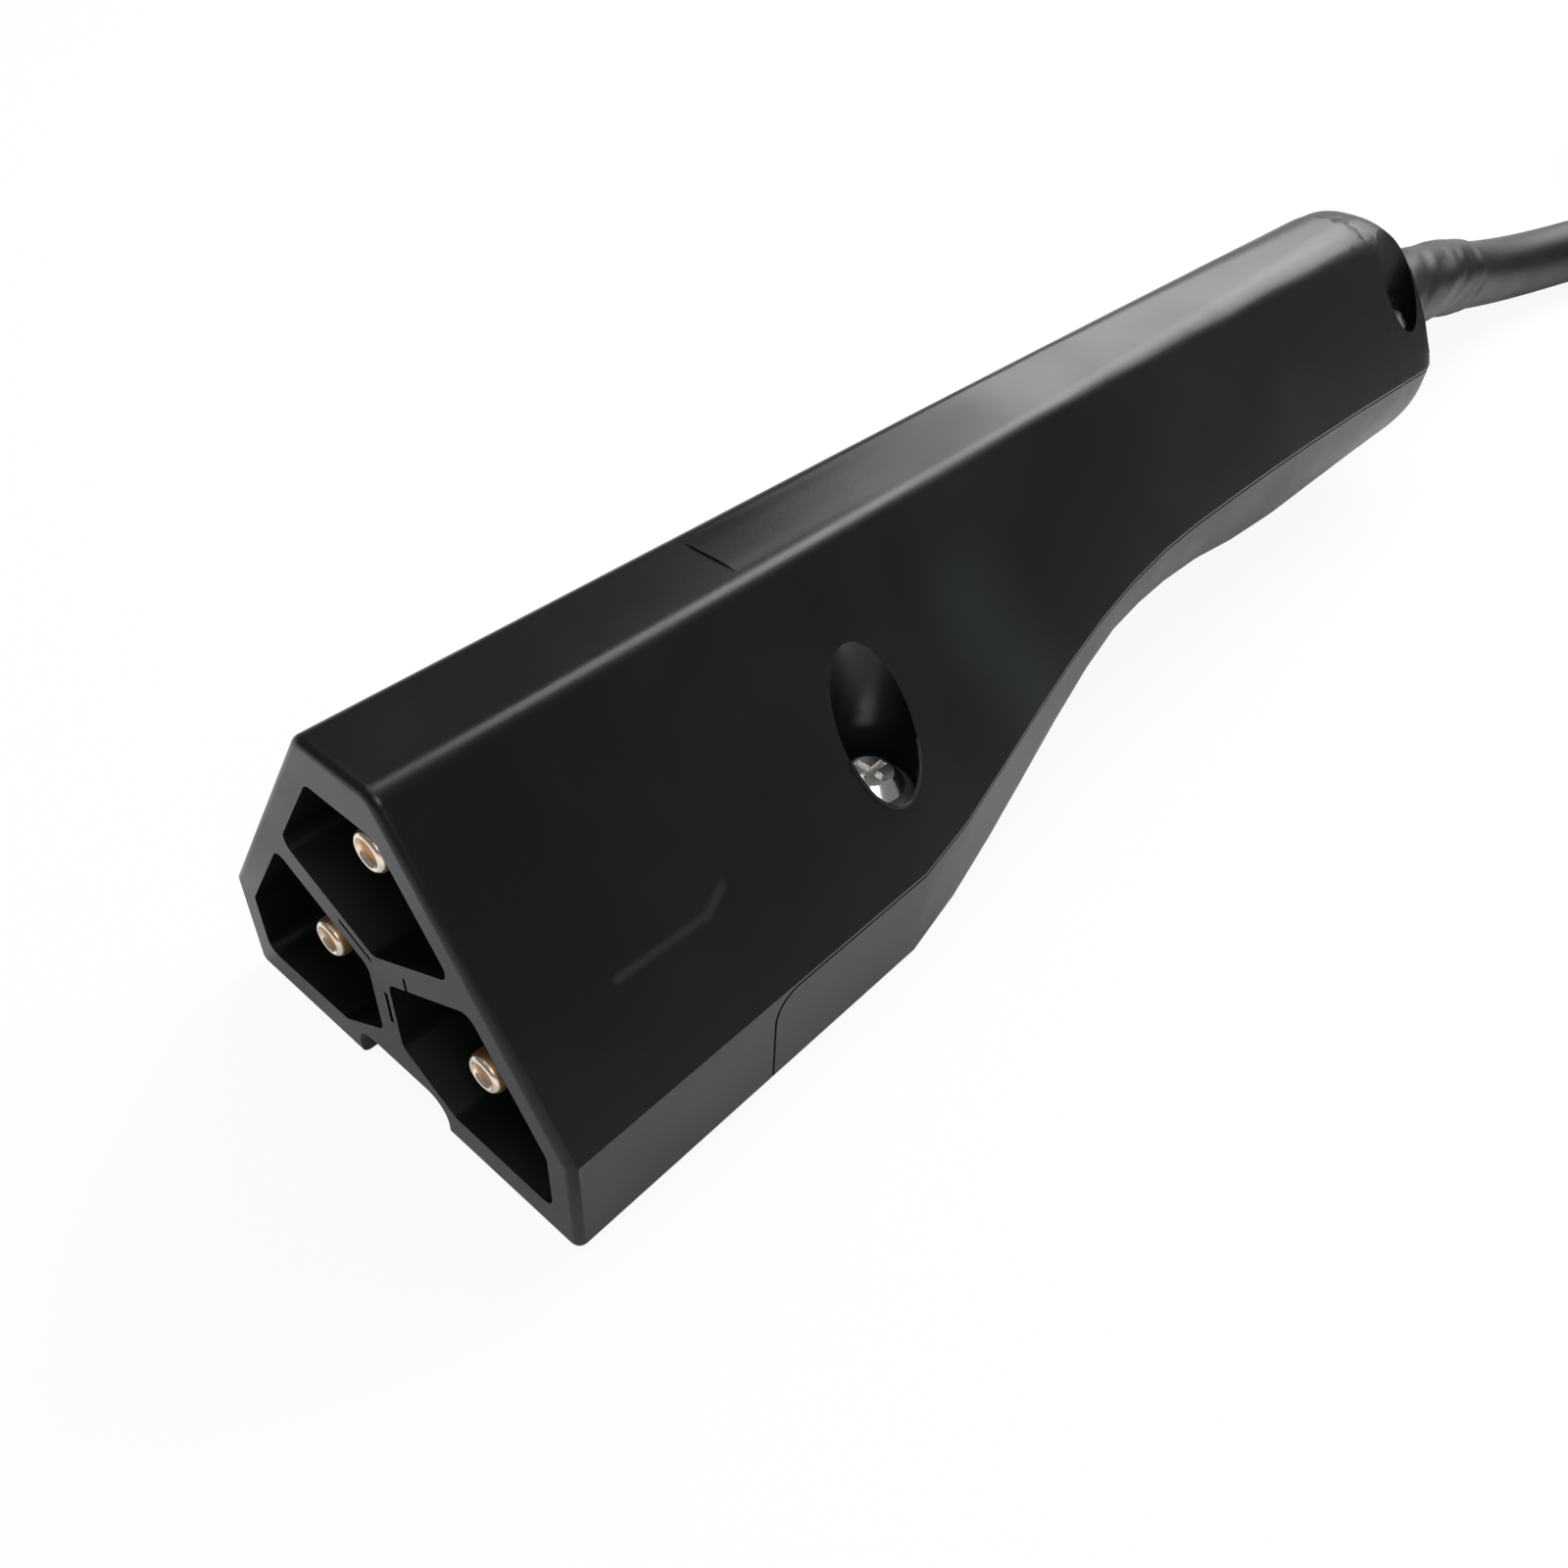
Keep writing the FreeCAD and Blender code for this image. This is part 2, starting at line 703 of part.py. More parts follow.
contact_pins = [contact_pin("contact_pin_" + name, across, up) for name, across, up in CONTACTS]
carrier_end = "cavity_depth + carrier"
carrier_plate = nose_plate("carrier_plate", "cavity_depth", "carrier", "wall + fit_gap")
retainer_plate = nose_plate("retainer_plate", carrier_end, "retainer", "wall + fit_gap * 2")
carrier_holes = []
retainer_holes = []
for name, across, up in CONTACTS:
    carrier_holes.append(cylinder("pin_hole_" + name, "pin_seat_radius + contact_gap", "carrier * 2",
                                  "cavity_depth - carrier * 0.5", across, up, along_x=True))
    carrier_holes.append(cylinder("flange_hole_" + name, "pin_flange_radius + contact_gap", "carrier",
                                  carrier_end + " - pin_flange", across, up, along_x=True))
    retainer_holes.append(cylinder("crimp_hole_" + name, "pin_crimp_radius + hole_gap", "retainer * 3",
                                   carrier_end + " - retainer", across, up, along_x=True))
contact_carrier = cut("contact_carrier", carrier_plate, fuse("carrier_holes", carrier_holes))
contact_retainer = cut("contact_retainer", retainer_plate, fuse("retainer_holes", retainer_holes))


# Screws, all with a domed head and a cross recess


def screw(name, kind, rotation, x, y, z):
    """A screw whose head stands on its local Z = 0, turned and moved to its seat."""
    head_radius, head = kind + "_head_radius", kind + "_head"
    blank = turned(name + "_blank", [
        ("0", "-%s_shank" % kind, None),
        (kind + "_shank_radius", "-%s_shank" % kind, None),
        (kind + "_shank_radius", "0", None),
        (head_radius, "0", None),
        (head_radius, head + " * (1 - head_chamfer * 1.6)", None),
        (head_radius + " * (1 - head_chamfer)", head, None),
        ("0", head, None),
    ])
    long_half, wide_half = head_radius + " * cross_length * 0.6", head_radius + " * cross_width * 0.5"
    floor = "%s * (1 - cross_depth)" % head
    slots = []
    for index, (along, across) in enumerate(((long_half, wide_half), (wide_half, long_half))):
        sizes = ("(%s) * 2" % along, "(%s) * 2" % across, head)
        slots.append(block("%s_slot_%d" % (name, index), *sizes, "-(%s)" % along, "-(%s)" % across, floor))
    made = cut(name, blank, fuse(name + "_cross", slots))
    made.Placement = Placement(Vector(), rotation)
    place(made, x, y, z)
    return made


case_screws = []
clamp_screws = []
UPRIGHT = Rotation()
UPSIDE_DOWN = Rotation(Vector(1, 0, 0), 180)
for side, sign in sides:
    for end in ("front", "rear"):
        spot = (end + "_well_place", "%s_well_side * %s" % (end, sign), end + "_seat")
        case_screws.append(screw("case_screw_%s_%s" % (end, side), "case", UPRIGHT, *spot))
    spot = ("clamp_place + clamp_length * 0.5", "%s * %s" % (clamp_side, sign), "clamp_top - clamp_ear")
    clamp_screws.append(screw("clamp_screw_" + side, "clamp", UPSIDE_DOWN, *spot))
screws = group("screws", case_screws + clamp_screws)

clamp_body = new_body("clamp_blank")
clamp_sketch = new_sketch(clamp_body, "clamp_outline", "YZ_Plane", "clamp_place")
clamp_floor = "cord_height - cord_radius - contact_gap - clamp_below"
clamp_corners = [
    ("clamp_foot", clamp_floor, None),
    ("clamp_waist", "clamp_top - clamp_ear", None),
    (clamp_half, "clamp_top - clamp_ear", None),
    (clamp_half, "clamp_top", None),
]
clamp_corners += [("-(%s)" % across, up, turn) for across, up, turn in reversed(clamp_corners)]
draw_outline(clamp_sketch, clamp_corners)
pad(clamp_body, "clamp_blank_pad", clamp_sketch, "clamp_length")
clamp_cuts = [cylinder("clamp_channel", "cord_radius + contact_gap", "clamp_length + 4",
                       "clamp_place - 2", "0", "cord_height", along_x=True)]
for side, sign in sides:
    spot = ("clamp_place + clamp_length * 0.5", "%s * %s" % (clamp_side, sign))
    clamp_cuts.append(cylinder("clamp_hole_" + side, "clamp_shank_radius + hole_gap", "clamp_top",
                               *spot, "1"))
cord_clamp_bar = cut("cord_clamp_bar", clamp_body, fuse("clamp_cuts", clamp_cuts))


# Cords and leads: straight runs joined by tangent arcs


def point(x, y, z):
    return Vector(value(x), value(y), value(z))


def route(points, keep=None):
    """The edges of straight runs and tangent arcs, cut to a length when keep is given."""
    edges = []
    here = points[0]
    radii = []
    for before, corner, after in zip(points, points[1:], points[2:]):
        back, ahead = (before - corner), (after - corner)
        half_turn = (math.pi - back.getAngle(ahead)) / 2
        reach = 0.45 * min(back.Length, ahead.Length)
        radii.append(reach / math.tan(half_turn))
        first, last = corner + back.normalize() * reach, corner + ahead.normalize() * reach
        way_in = (back + ahead).normalize()
        middle = corner + way_in * (radii[-1] / math.cos(half_turn) - radii[-1])
        edges.append(Part.makeLine(here, first))
        edges.append(Part.Arc(first, middle, last).toShape())
        here = last
    edges.append(Part.makeLine(here, points[-1]))
    if keep is not None:
        kept = []
        for edge in edges:
            if keep <= 0:
                break
            if edge.Length > keep:
                end = edge.Curve.parameterAtDistance(keep, edge.FirstParameter)
                edge = edge.Curve.toShape(edge.FirstParameter, end)
            kept.append(edge)
            keep -= edge.Length
        edges = kept
    return edges, radii


def swept(edges, radius):
    """A round solid along the edges, ruled between circles that stand square to them."""
    circles = []
    for edge in edges:
        steps = 1
        if isinstance(edge.Curve, Part.Circle):
            turn = edge.Length / edge.Curve.Radius
            steps = max(2, math.ceil(turn / math.radians(value("bend_step"))))
        first = 1 if circles else 0
        for step in range(first, steps + 1):
            spot = edge.FirstParameter + (edge.LastParameter - edge.FirstParameter) * step / steps
            way = edge.tangentAt(spot)
            level = Vector(0, 0, 1).cross(way)
            circle = Part.makeCircle(radius)
            circle.Placement = Placement(edge.valueAt(spot), Rotation(level, way.cross(level), way, "ZXY"))
            circles.append(Part.Wire(circle))
    return Part.makeLoft(circles, True, True)


def tube(name, radius, points, start=None, inner=None, keep=None):
    """A cord, a lead or a sleeve along a route, in its own place already."""
    edges, radii = route(points, keep)
    if start is not None:
        edges = [Part.makeLine(start, points[0])] + edges
    size = value(radius)
    solid = swept(edges, size)
    section = math.pi * size ** 2
    if inner is not None:
        solid = solid.cut(swept(edges, value(inner)))
        section -= math.pi * value(inner) ** 2
    shape = doc.addObject("Part::Feature", name)
    shape.Shape = solid
    length = sum(edge.Length for edge in edges)
    bends = ", ".join("%.0f" % bend for bend in radii)
    share = solid.Volume / (section * length)
    print("%s: length %.1f, bend radii %s, share of its volume %.4f" % (name, length, bends, share))
    return shape


def inner_lead(name, across, up, middle_side, middle_up, last_side, last_up):
    stations = [
        ("pin_crimp_end", across, up), ("lead_bend", across, up), ("lead_middle", middle_side, middle_up),
        ("lead_gather", last_side, last_up), ("jacket_start", last_side, last_up),
    ]
    return tube(name, "lead_radius", [point(x + " - plug_length / 2", y, z) for x, y, z in stations])


low_side = "(lead_spread * cos(30 deg))"
low_up = "cord_height - lead_spread * 0.5"
top_up = "cord_height + lead_spread"
leads = [inner_lead("lead_top", "0", "top_pin_height", "0", "top_lead_middle_height", "0", top_up)]
for side, sign in sides:
    leads.append(inner_lead("lead_" + side, "low_pin_side * " + sign, "low_pin_height",
                            "lead_middle_side * " + sign, "lead_middle_height",
                            "%s * %s" % (low_side, sign), low_up))

cord_inner_end = cylinder("cord_inner_end", "cord_radius", "plug_length - jacket_start",
                          "jacket_start - plug_length / 2", "0", "cord_height", along_x=True)
tail = point("plug_length / 2", "0", "cord_height")
first_bend = tail + Vector(value("first_run"), 0, 0)
floor_bend = first_bend + Vector(value("fall_run"), 0, value("cord_rest - cord_height"))
angle = math.radians(value("heading"))
onward = Vector(math.cos(angle), -math.sin(angle), 0)
hank_rest = "(cord_rest + tie + tie_gap)"
near_fold = tail + Vector(value("hank_reach"), value("hank_side"), value(hank_rest + " - cord_height"))
far_fold = near_fold + Vector(value("hank_run"), 0, 0)
approach = floor_bend + onward * value("lead_in_run")
approach.z = near_fold.z
to_fold = near_fold - approach
lean = math.atan2(to_fold.y, to_fold.x) - math.asin(value("hank_radius") / to_fold.Length)
joining = Vector(math.cos(lean), math.sin(lean), 0)
touch = approach + joining * math.sqrt(to_fold.Length ** 2 - value("hank_radius") ** 2)
hank_entry = touch - joining * value("stub")
reach = "(cord_radius + hank_margin)"
hank_middle = "((hank_radius + hank_inner_radius) * 0.5)"
hank_top = "(%s + hank_pitch * 2 + %s)" % (hank_rest, reach)
end_base = "(%s + end_gap)" % hank_top
end_level = value(end_base + " + end_height")
turn_out = math.radians(value("end_turn"))
way_out = Vector(math.cos(turn_out), math.sin(turn_out), 0)
leave = near_fold + Vector(math.sin(turn_out), -math.cos(turn_out), 0) * value(hank_middle)
leave.z = end_level
tail_start = leave + way_out * value("end_out")
cord_end = tail_start + way_out * value("end_run")
sleeve_from = tail - Vector(value("plug_length - sleeve_start"), 0, 0)
cord_lead = tube("cord_lead", "cord_radius", [tail, first_bend, floor_bend, approach, hank_entry])
cord_tail = tube("cord_tail", "cord_radius", [tail_start, cord_end])
strain_sleeve = tube("strain_sleeve", "sleeve_radius", [tail, first_bend, floor_bend], start=sleeve_from,
                     inner="cord_radius + sleeve_gap", keep=value("sleeve_reach"))


# The hank as one closed solid of its outer shape: it goes round two folds, the cord joins it on
# the floor, and its last part climbs onto it, goes round the near fold and leaves on top


def rod(name, start, finish):
    """A stretch of the cord from one point to another."""
    solid = doc.addObject("Part::Cylinder", name)
    bind(solid, "Radius", "cord_radius")
    solid.Height = (finish - start).Length
    solid.Placement = Placement(start, Rotation(Vector(0, 0, 1), finish - start))
    return solid


def fold(name, corners, spot, turn):
    """Half a turn of the hank, its middle towards an angle."""
    body = turned(name, corners, 180)
    body.Placement = Placement(Vector(spot.x, spot.y, 0), Rotation(Vector(0, 0, 1), turn))
    return body


def side_run(name, corners, sign):
    """The straight part between the two folds, on one side."""
    body = new_body(name)
    sketch = new_sketch(body, name + "_section", "YZ_Plane")
    draw_outline(sketch, [("(%s) * %s" % (across, sign), up, None) for across, up, turn in corners])
    pad(body, name + "_length", sketch, "hank_run")
    body.Placement = Placement(Vector(near_fold.x, near_fold.y, 0), Rotation())
    return body


band_inside, band_outside = "hank_inner_radius - " + reach, "hank_radius + " + reach
band = [
    (band_inside, "0", None),
    (band_outside + " - hank_chamfer", "0", None),
    (band_outside, "hank_chamfer", None),
    (band_outside, hank_top + " - hank_chamfer", None),
    (band_outside + " - hank_chamfer", hank_top, None),
    (band_inside, hank_top, None),
]
ridge_inside, ridge_outside = "%s - %s" % (hank_middle, reach), "%s + %s" % (hank_middle, reach)
ridge_top = "(%s + end_height + %s)" % (end_base, reach)
ridge = [
    (ridge_inside, hank_top + " - hank_margin", None),
    (ridge_outside, hank_top + " - hank_margin", None),
    (ridge_outside, ridge_top + " - hank_chamfer", None),
    (ridge_outside + " - hank_chamfer", ridge_top, None),
    (ridge_inside + " + hank_chamfer", ridge_top, None),
    (ridge_inside, ridge_top + " - hank_chamfer", None),
]
climb_start = far_fold + Vector(0, value("hank_radius"), value("hank_pitch * 2"))
climb_end = Vector(near_fold.x, near_fold.y + value(hank_middle), end_level)
hank_parts = [
    fold("near_fold_band", band, near_fold, 180), fold("far_fold_band", band, far_fold, 0),
    side_run("near_run", band, "-1"), side_run("far_run", band, "1"),
    fold("top_fold", ridge, near_fold, 180), rod("climb", climb_start, climb_end),
    rod("entry_rod", hank_entry, touch), rod("exit_rod", leave - way_out * value("end_back"), tail_start),
]
tie_frame = Placement(Vector(far_fold.x, far_fold.y, 0), Rotation(Vector(0, 0, 1), value("tie_turn")))
slot_body = new_body("tie_slot")
slot_sketch = new_sketch(slot_body, "slot_outline", "XZ_Plane")
slot_in, slot_out = "%s - tie_half" % band_inside, "%s + tie_half" % band_outside
slot_corners = [(slot_in, "-tie", None), (slot_out, "-tie", None)]
slot_corners += [(slot_out, "tie + tie_gap", None), (slot_in, "tie + tie_gap", None)]
draw_outline(slot_sketch, slot_corners)
pad(slot_body, "slot_width", slot_sketch, "(tie_half + tie_gap) * 2", both=True)
slot_body.Placement = tie_frame
cord_hank = cut("cord_hank", fuse("hank_solid", hank_parts), slot_body)
tie_body = new_body("cord_tie")
tie_sketch = new_sketch(tie_body, "tie_outline", "XZ_Plane")
# the fold's inside bulges into the flat strap by its own curve
tie_in = "(sqrt((%s)^2 - tie_half^2) - tie_gap)" % band_inside
tie_out = "(%s + tie_gap)" % band_outside
tie_top = "(%s + tie_gap)" % hank_top
draw_outline(tie_sketch, [
    (tie_in + " - tie", "0", "tie_inner_round"), (tie_out + " + tie", "0", "tie_outer_round"),
    (tie_out + " + tie", tie_top + " + tie", "tie_outer_round"),
    (tie_in + " - tie", tie_top + " + tie", "tie_inner_round"),
])
draw_outline(tie_sketch, [
    (tie_in, "tie", None),
    (tie_out + " - hank_chamfer + tie", "tie", None),
    (tie_out, "hank_chamfer - tie_gap", None),
    (tie_out, tie_top + " - hank_chamfer", None),
    (tie_out + " - hank_chamfer", tie_top, None),
    (tie_in, tie_top, None),
])
pad(tie_body, "tie_width", tie_sketch, "tie_half * 2", both=True)
tie_body.Placement = tie_frame


# The far end: a boot, three short leads and a ring terminal on each


boot_blank = turned("boot_blank", [
    ("0", "0", None),
    ("boot_nose_radius - boot_chamfer", "0", None),
    ("boot_nose_radius", "boot_chamfer", None),
    ("boot_radius", "boot_nose", None),
    ("boot_radius", "boot_nose + boot_grip", None),
    ("0", "boot_nose + boot_grip", None),
])
boot_blank.Placement = Placement(Vector(), AXIS_ALONG_X)
boot_start = "end_place - boot_nose"
place(boot_blank, boot_start, "0", "end_height")
boot_bore = cylinder("boot_bore", "cord_radius + contact_gap", "boot_grip + 2",
                     "end_place", "0", "end_height", along_x=True)
cord_end_boot = cut("cord_end_boot", boot_blank, boot_bore)
rings = []
end_leads = []
ring_end = "ring_barrel_start + ring_barrel"
fan = (("middle", "0", "lead_spread", "0"), ("right", low_side, "-lead_spread * 0.5", "ring_fan"),
       ("left", "-" + low_side, "-lead_spread * 0.5", "-ring_fan"))
for name, across, up, spread in fan:
    start_z = "end_height + %s" % up
    stations = [
        (boot_start, across, start_z), ("end_lead_bend", across, start_z),
        ("end_lead_floor", spread, "end_lead_height"), (ring_end, spread, "end_lead_height"),
    ]
    end_leads.append(tube("end_lead_" + name, "lead_radius", [point(*station) for station in stations]))
    barrel = cylinder("ring_barrel_" + name, "ring_barrel_radius", "ring_barrel",
                      "ring_barrel_start", spread, "end_lead_height", along_x=True)
    disc = cylinder("ring_disc_" + name, "ring_radius", "ring_plate", "0", spread, "0")
    neck = block("ring_neck_" + name, ring_end + " - 2", "ring_neck_half * 2", "ring_plate", "0",
                 spread + " - ring_neck_half", "0")
    hole = cylinder("ring_hole_" + name, "ring_hole_radius", "ring_plate + 2", "0", spread, "-1")
    ring_solid = fuse("ring_solid_" + name, [barrel, disc, neck])
    rings.append(cut("ring_terminal_" + name, ring_solid, hole))
end_base_point = cord_end + way_out * value("end_place") - Vector(0, 0, value("end_height"))
end_frame = Placement(end_base_point, Rotation(Vector(0, 0, 1), 180 + value("end_turn")))
for piece in [cord_end_boot] + end_leads + rings:
    piece.Placement = end_frame


# Hand-in: every sub-part is placed, checked and written to its own file


plug_parts = [
    upper_body, belly_cover, contact_carrier, contact_retainer, cord_clamp_bar,
    screws,
]
for part in plug_parts:
    place(part, "-plug_length / 2")
sub_parts = plug_parts + contact_pins + leads
sub_parts += [cord_inner_end, strain_sleeve, cord_lead, cord_hank, tie_body, cord_tail, cord_end_boot]
sub_parts += end_leads + rings

doc.recompute()
for thing in doc.Objects:
    for state in ("Invalid", "Error"):
        if state in thing.State:
            raise RuntimeError("%s is %s" % (thing.Name, state))
os.makedirs("parts", exist_ok=True)
for part in sub_parts:
    part.Label = part.Name
    shape = part.Shape
    if shape.isNull() or not shape.isValid() or not shape.Solids:
        raise RuntimeError("%s has no valid solid" % part.Name)
    shape.exportStep("parts/%s.step" % part.Label)
    box = shape.BoundBox
    spans = (box.XMin, box.XMax, box.YMin, box.YMax, box.ZMin, box.ZMax)
    box_words = " ".join("%.2f" % side for side in spans)
    print("%s: %d solids, %.0f mm3, box %s" % (part.Label, len(shape.Solids), shape.Volume, box_words))
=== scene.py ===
"""Dresses a charging handle plug and its cord for a studio view.

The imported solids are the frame. Each sub-assembly is a class that makes its own pieces with
bmesh operators or curves. A piece has a procedural finish and rides on the plug's body.
"""

from __future__ import annotations

import logging
import math
from dataclasses import dataclass, field
from enum import Enum

import bmesh
import bpy
from bmesh.types import BMEdge, BMesh, BMVert
from bpy.types import ID, Curve, Material, Mesh, Node, NodeTree, Object, World
from bpy.types import NodeSocket as Socket
from mathutils import Matrix, Vector, noise


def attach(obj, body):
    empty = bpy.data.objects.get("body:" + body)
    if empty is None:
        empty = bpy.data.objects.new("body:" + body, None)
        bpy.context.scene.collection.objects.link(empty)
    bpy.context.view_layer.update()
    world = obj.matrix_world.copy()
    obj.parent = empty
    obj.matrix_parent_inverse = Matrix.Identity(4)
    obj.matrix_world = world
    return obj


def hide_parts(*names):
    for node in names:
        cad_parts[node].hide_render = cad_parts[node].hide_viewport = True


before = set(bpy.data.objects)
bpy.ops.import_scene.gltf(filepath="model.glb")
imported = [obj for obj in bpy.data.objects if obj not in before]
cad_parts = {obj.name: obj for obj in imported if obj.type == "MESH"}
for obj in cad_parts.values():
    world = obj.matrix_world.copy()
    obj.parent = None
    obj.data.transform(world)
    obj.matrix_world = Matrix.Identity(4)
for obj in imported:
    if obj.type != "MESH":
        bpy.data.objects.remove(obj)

log = logging.getLogger("handle_plug")
MM = 0.001
MERGE = 0.000001
BODY = "root"

Sockets = bpy.types.bpy_prop_collection
Edges = list[BMEdge]
Verts = list[BMVert]
Pair = tuple[float, float]
Triple = tuple[float, float, float]


# Node trees


class Tree:
    """A thin wrapper that adds nodes and links to a shader node tree."""

    def __init__(self, tree: NodeTree) -> None:
        """Keeps a material's or a group's node tree."""
        self.tree = tree

    def feed(self, socket: Socket, value: object) -> None:
        """Links an input to a socket, or sets it to a plain value."""
        if isinstance(value, Socket):
            self.tree.links.new(value, socket)
        else:
            socket.default_value = value

    def add(
        self, kind: str, values: dict[str | int, object] | None = None, **settings: object,
    ) -> Node:
        """Adds one node.

        Args:
            kind: The node's type name without its ShaderNode prefix, or the whole name.
            values: What to set or link on its inputs, by input name or number.
            settings: Properties of the node itself.

        Returns:
            The new node.
        """
        name = kind if kind.startswith("Node") else "ShaderNode" + kind
        node = self.tree.nodes.new(name)
        for key, setting in settings.items():
            setattr(node, key, setting)
        for key, value in (values or {}).items():
            self.feed(node.inputs[key], value)
        return node

    def group(self, effect: NodeTree, **values: object) -> Sockets:
        """Adds a node group, sets or links its inputs, and returns its outputs."""
        return self.add("Group", values, node_tree=effect).outputs

    def math(self, operation: str, *values: object, clamp: bool = False) -> Socket:
        """Adds a Math node and returns its result.

        Args:
            operation: The name of the operation.
            values: Its numbers or sockets, in order.
            clamp: Whether the result stays from 0 to 1.

        Returns:
            The result's socket.
        """
        inputs = dict(enumerate(values))
        return self.add("Math", inputs, operation=operation, use_clamp=clamp).outputs[0]

    def vector(self, operation: str, first: Socket, second: Socket) -> Sockets:
        """Adds a Vector Math node and returns its outputs."""
        return self.add("VectorMath", {0: first, 1: second}, operation=operation).outputs

    def noise(self, point: Socket, scale: object, detail: float, distortion: float = 0.0) -> Socket:
        """Adds a Noise Texture and returns its value."""
        values = {"Vector": point, "Scale": scale, "Detail": detail, "Distortion": distortion}
        return self.add("TexNoise", values).outputs[0]

    def span(
        self, value: Socket, low: object, high: object, out: Pair = (0.0, 1.0), **settings: object,
    ) -> Socket:
        """Maps the span from low to high onto the span out and clamps it."""
        values = {0: value, 1: low, 2: high, 3: out[0], 4: out[1]}
        return self.add("MapRange", values, clamp=True, **settings).outputs[0]

    def mix(self, share: Socket, first: Socket | Triple, second: Socket | Triple) -> Socket:
        """Mixes two colours by a share."""
        first, second = (
            color if isinstance(color, Socket) else (*color, 1.0) for color in (first, second)
        )
        return self.add("Mix", {0: share, 6: first, 7: second}, data_type="RGBA").outputs[2]


def fresh_tree(owner: Material | World) -> Tree:
    """Empties a material's or the world's node tree and wraps it."""
    owner.use_nodes = True
    owner.node_tree.nodes.clear()
    return Tree(owner.node_tree)


def make_group(
    name: str, inputs: dict[str, float | None], *outputs: str,
) -> tuple[Tree, Sockets, Sockets]:
    """Starts a shader node group that has a Vector input and puts out floats.

    Args:
        name: The group's name.
        inputs: Each further input, with the default of a float or None for a vector.
        outputs: The names of the outputs.

    Returns:
        The tree, the sockets of the inputs and the sockets of the outputs.
    """
    group = bpy.data.node_groups.new(name, "ShaderNodeTree")
    for key, value in {"Vector": None, **inputs}.items():
        kind = "NodeSocketVector" if value is None else "NodeSocketFloat"
        made = group.interface.new_socket(name=key, in_out="INPUT", socket_type=kind)
        if value is not None:
            made.default_value = value
    for key in outputs:
        group.interface.new_socket(name=key, in_out="OUTPUT", socket_type="NodeSocketFloat")
    tree = Tree(group)
    return tree, tree.add("NodeGroupInput").outputs, tree.add("NodeGroupOutput").inputs


class Effects:
    """The surface effects that the finishes share, each a node group that is built once.

    A scale is in patterns a metre. A span is where a pattern starts to show and shows in full.
    """

    wave_scale = 0.06
    wave_share = 0.3
    smear_scale = 40.0
    smear_span = (0.42, 0.68)
    streak_stretch = (60.0, 900.0, 900.0)
    streak_span = (0.66, 0.74)
    streak_area_scale = 22.0
    streak_area_span = (0.52, 0.62)
    speck_scale = 90.0
    speck_rarity = 0.72

    def __init__(self) -> None:
        """Builds each group."""
        self.grain = self._grain()
        self.handling = self._handling()
        self.specks = self._specks()
        self.patch = self._patch()

    def _grain(self) -> NodeTree:
        """A moulded surface's fine grain on slow waves, as a height."""
        tree, source, sink = make_group("moulded_grain", {"Scale": 1800.0}, "Height")
        fine = tree.noise(source["Vector"], source["Scale"], 3.0)
        broad_scale = tree.math("MULTIPLY", source["Scale"], self.wave_scale)
        broad = tree.noise(source["Vector"], broad_scale, 1.0)
        waves = tree.math("MULTIPLY", broad, self.wave_share)
        tree.feed(sink["Height"], tree.math("ADD", fine, waves))
        return tree.tree

    def _handling(self) -> NodeTree:
        """Broad smears and fine streaks where hands and sockets rub, as masks."""
        tree, source, sink = make_group("handling_marks", {}, "Smear", "Streak")
        point = source["Vector"]
        broad = tree.noise(point, self.smear_scale, 4.0, 0.6)
        tree.feed(sink["Smear"], tree.span(broad, *self.smear_span))
        long_way = tree.add("Mapping", {"Vector": point, "Scale": self.streak_stretch}).outputs[0]
        lines = tree.span(tree.noise(long_way, 1.0, 2.0), *self.streak_span)
        areas = tree.span(tree.noise(point, self.streak_area_scale, 1.0), *self.streak_area_span)
        tree.feed(sink["Streak"], tree.math("MULTIPLY", lines, areas))
        return tree.tree

    def _specks(self) -> NodeTree:
        """A few pale specks of dust, as a mask."""
        tree, source, sink = make_group("dust_specks", {"Size": 0.02}, "Mask")
        cells = tree.add("TexVoronoi", {"Vector": source["Vector"], "Scale": self.speck_scale})
        near = tree.math("LESS_THAN", cells.outputs["Distance"], source["Size"])
        split = tree.add("SeparateColor", {0: cells.outputs["Color"]})
        rare = tree.math("GREATER_THAN", split.outputs[0], self.speck_rarity)
        tree.feed(sink["Mask"], tree.math("MULTIPLY", near, rare))
        return tree.tree

    def _patch(self) -> NodeTree:
        """A soft patch round a line from Start along Way, as a mask that is 1 in the middle."""
        inputs = {"Start": None, "Way": None, "Full": 0.001, "Radius": 0.002}
        tree, source, sink = make_group("soft_patch", inputs, "Mask")
        way = source["Way"]
        off = tree.vector("SUBTRACT", source["Vector"], source["Start"])[0]
        dot = tree.vector("DOT_PRODUCT", off, way)["Value"]
        square = tree.vector("DOT_PRODUCT", way, way)["Value"]
        share = tree.math("DIVIDE", dot, square, clamp=True)
        foot = tree.add("VectorMath", {0: way, "Scale": share}, operation="SCALE").outputs[0]
        far = tree.vector("DISTANCE", off, foot)["Value"]
        full, radius = source["Full"], source["Radius"]
        mask = tree.span(far, full, radius, (1.0, 0.0), interpolation_type="SMOOTHSTEP")
        tree.feed(sink["Mask"], mask)
        return tree.tree


# Finishes


DUST_COLOR = (0.2, 0.2, 0.19)
SMEAR_ROUGHNESS = 0.1
# How much rougher a pin's shank is, and how softly its painted shade fades in along X.
SHANK_ROUGHNESS = 0.3
SHADE_FADE = 0.00025
WEAVE_SCALE = 260.0
WEAVE_HEIGHT = 0.8
BUMP_STRENGTH = 0.8


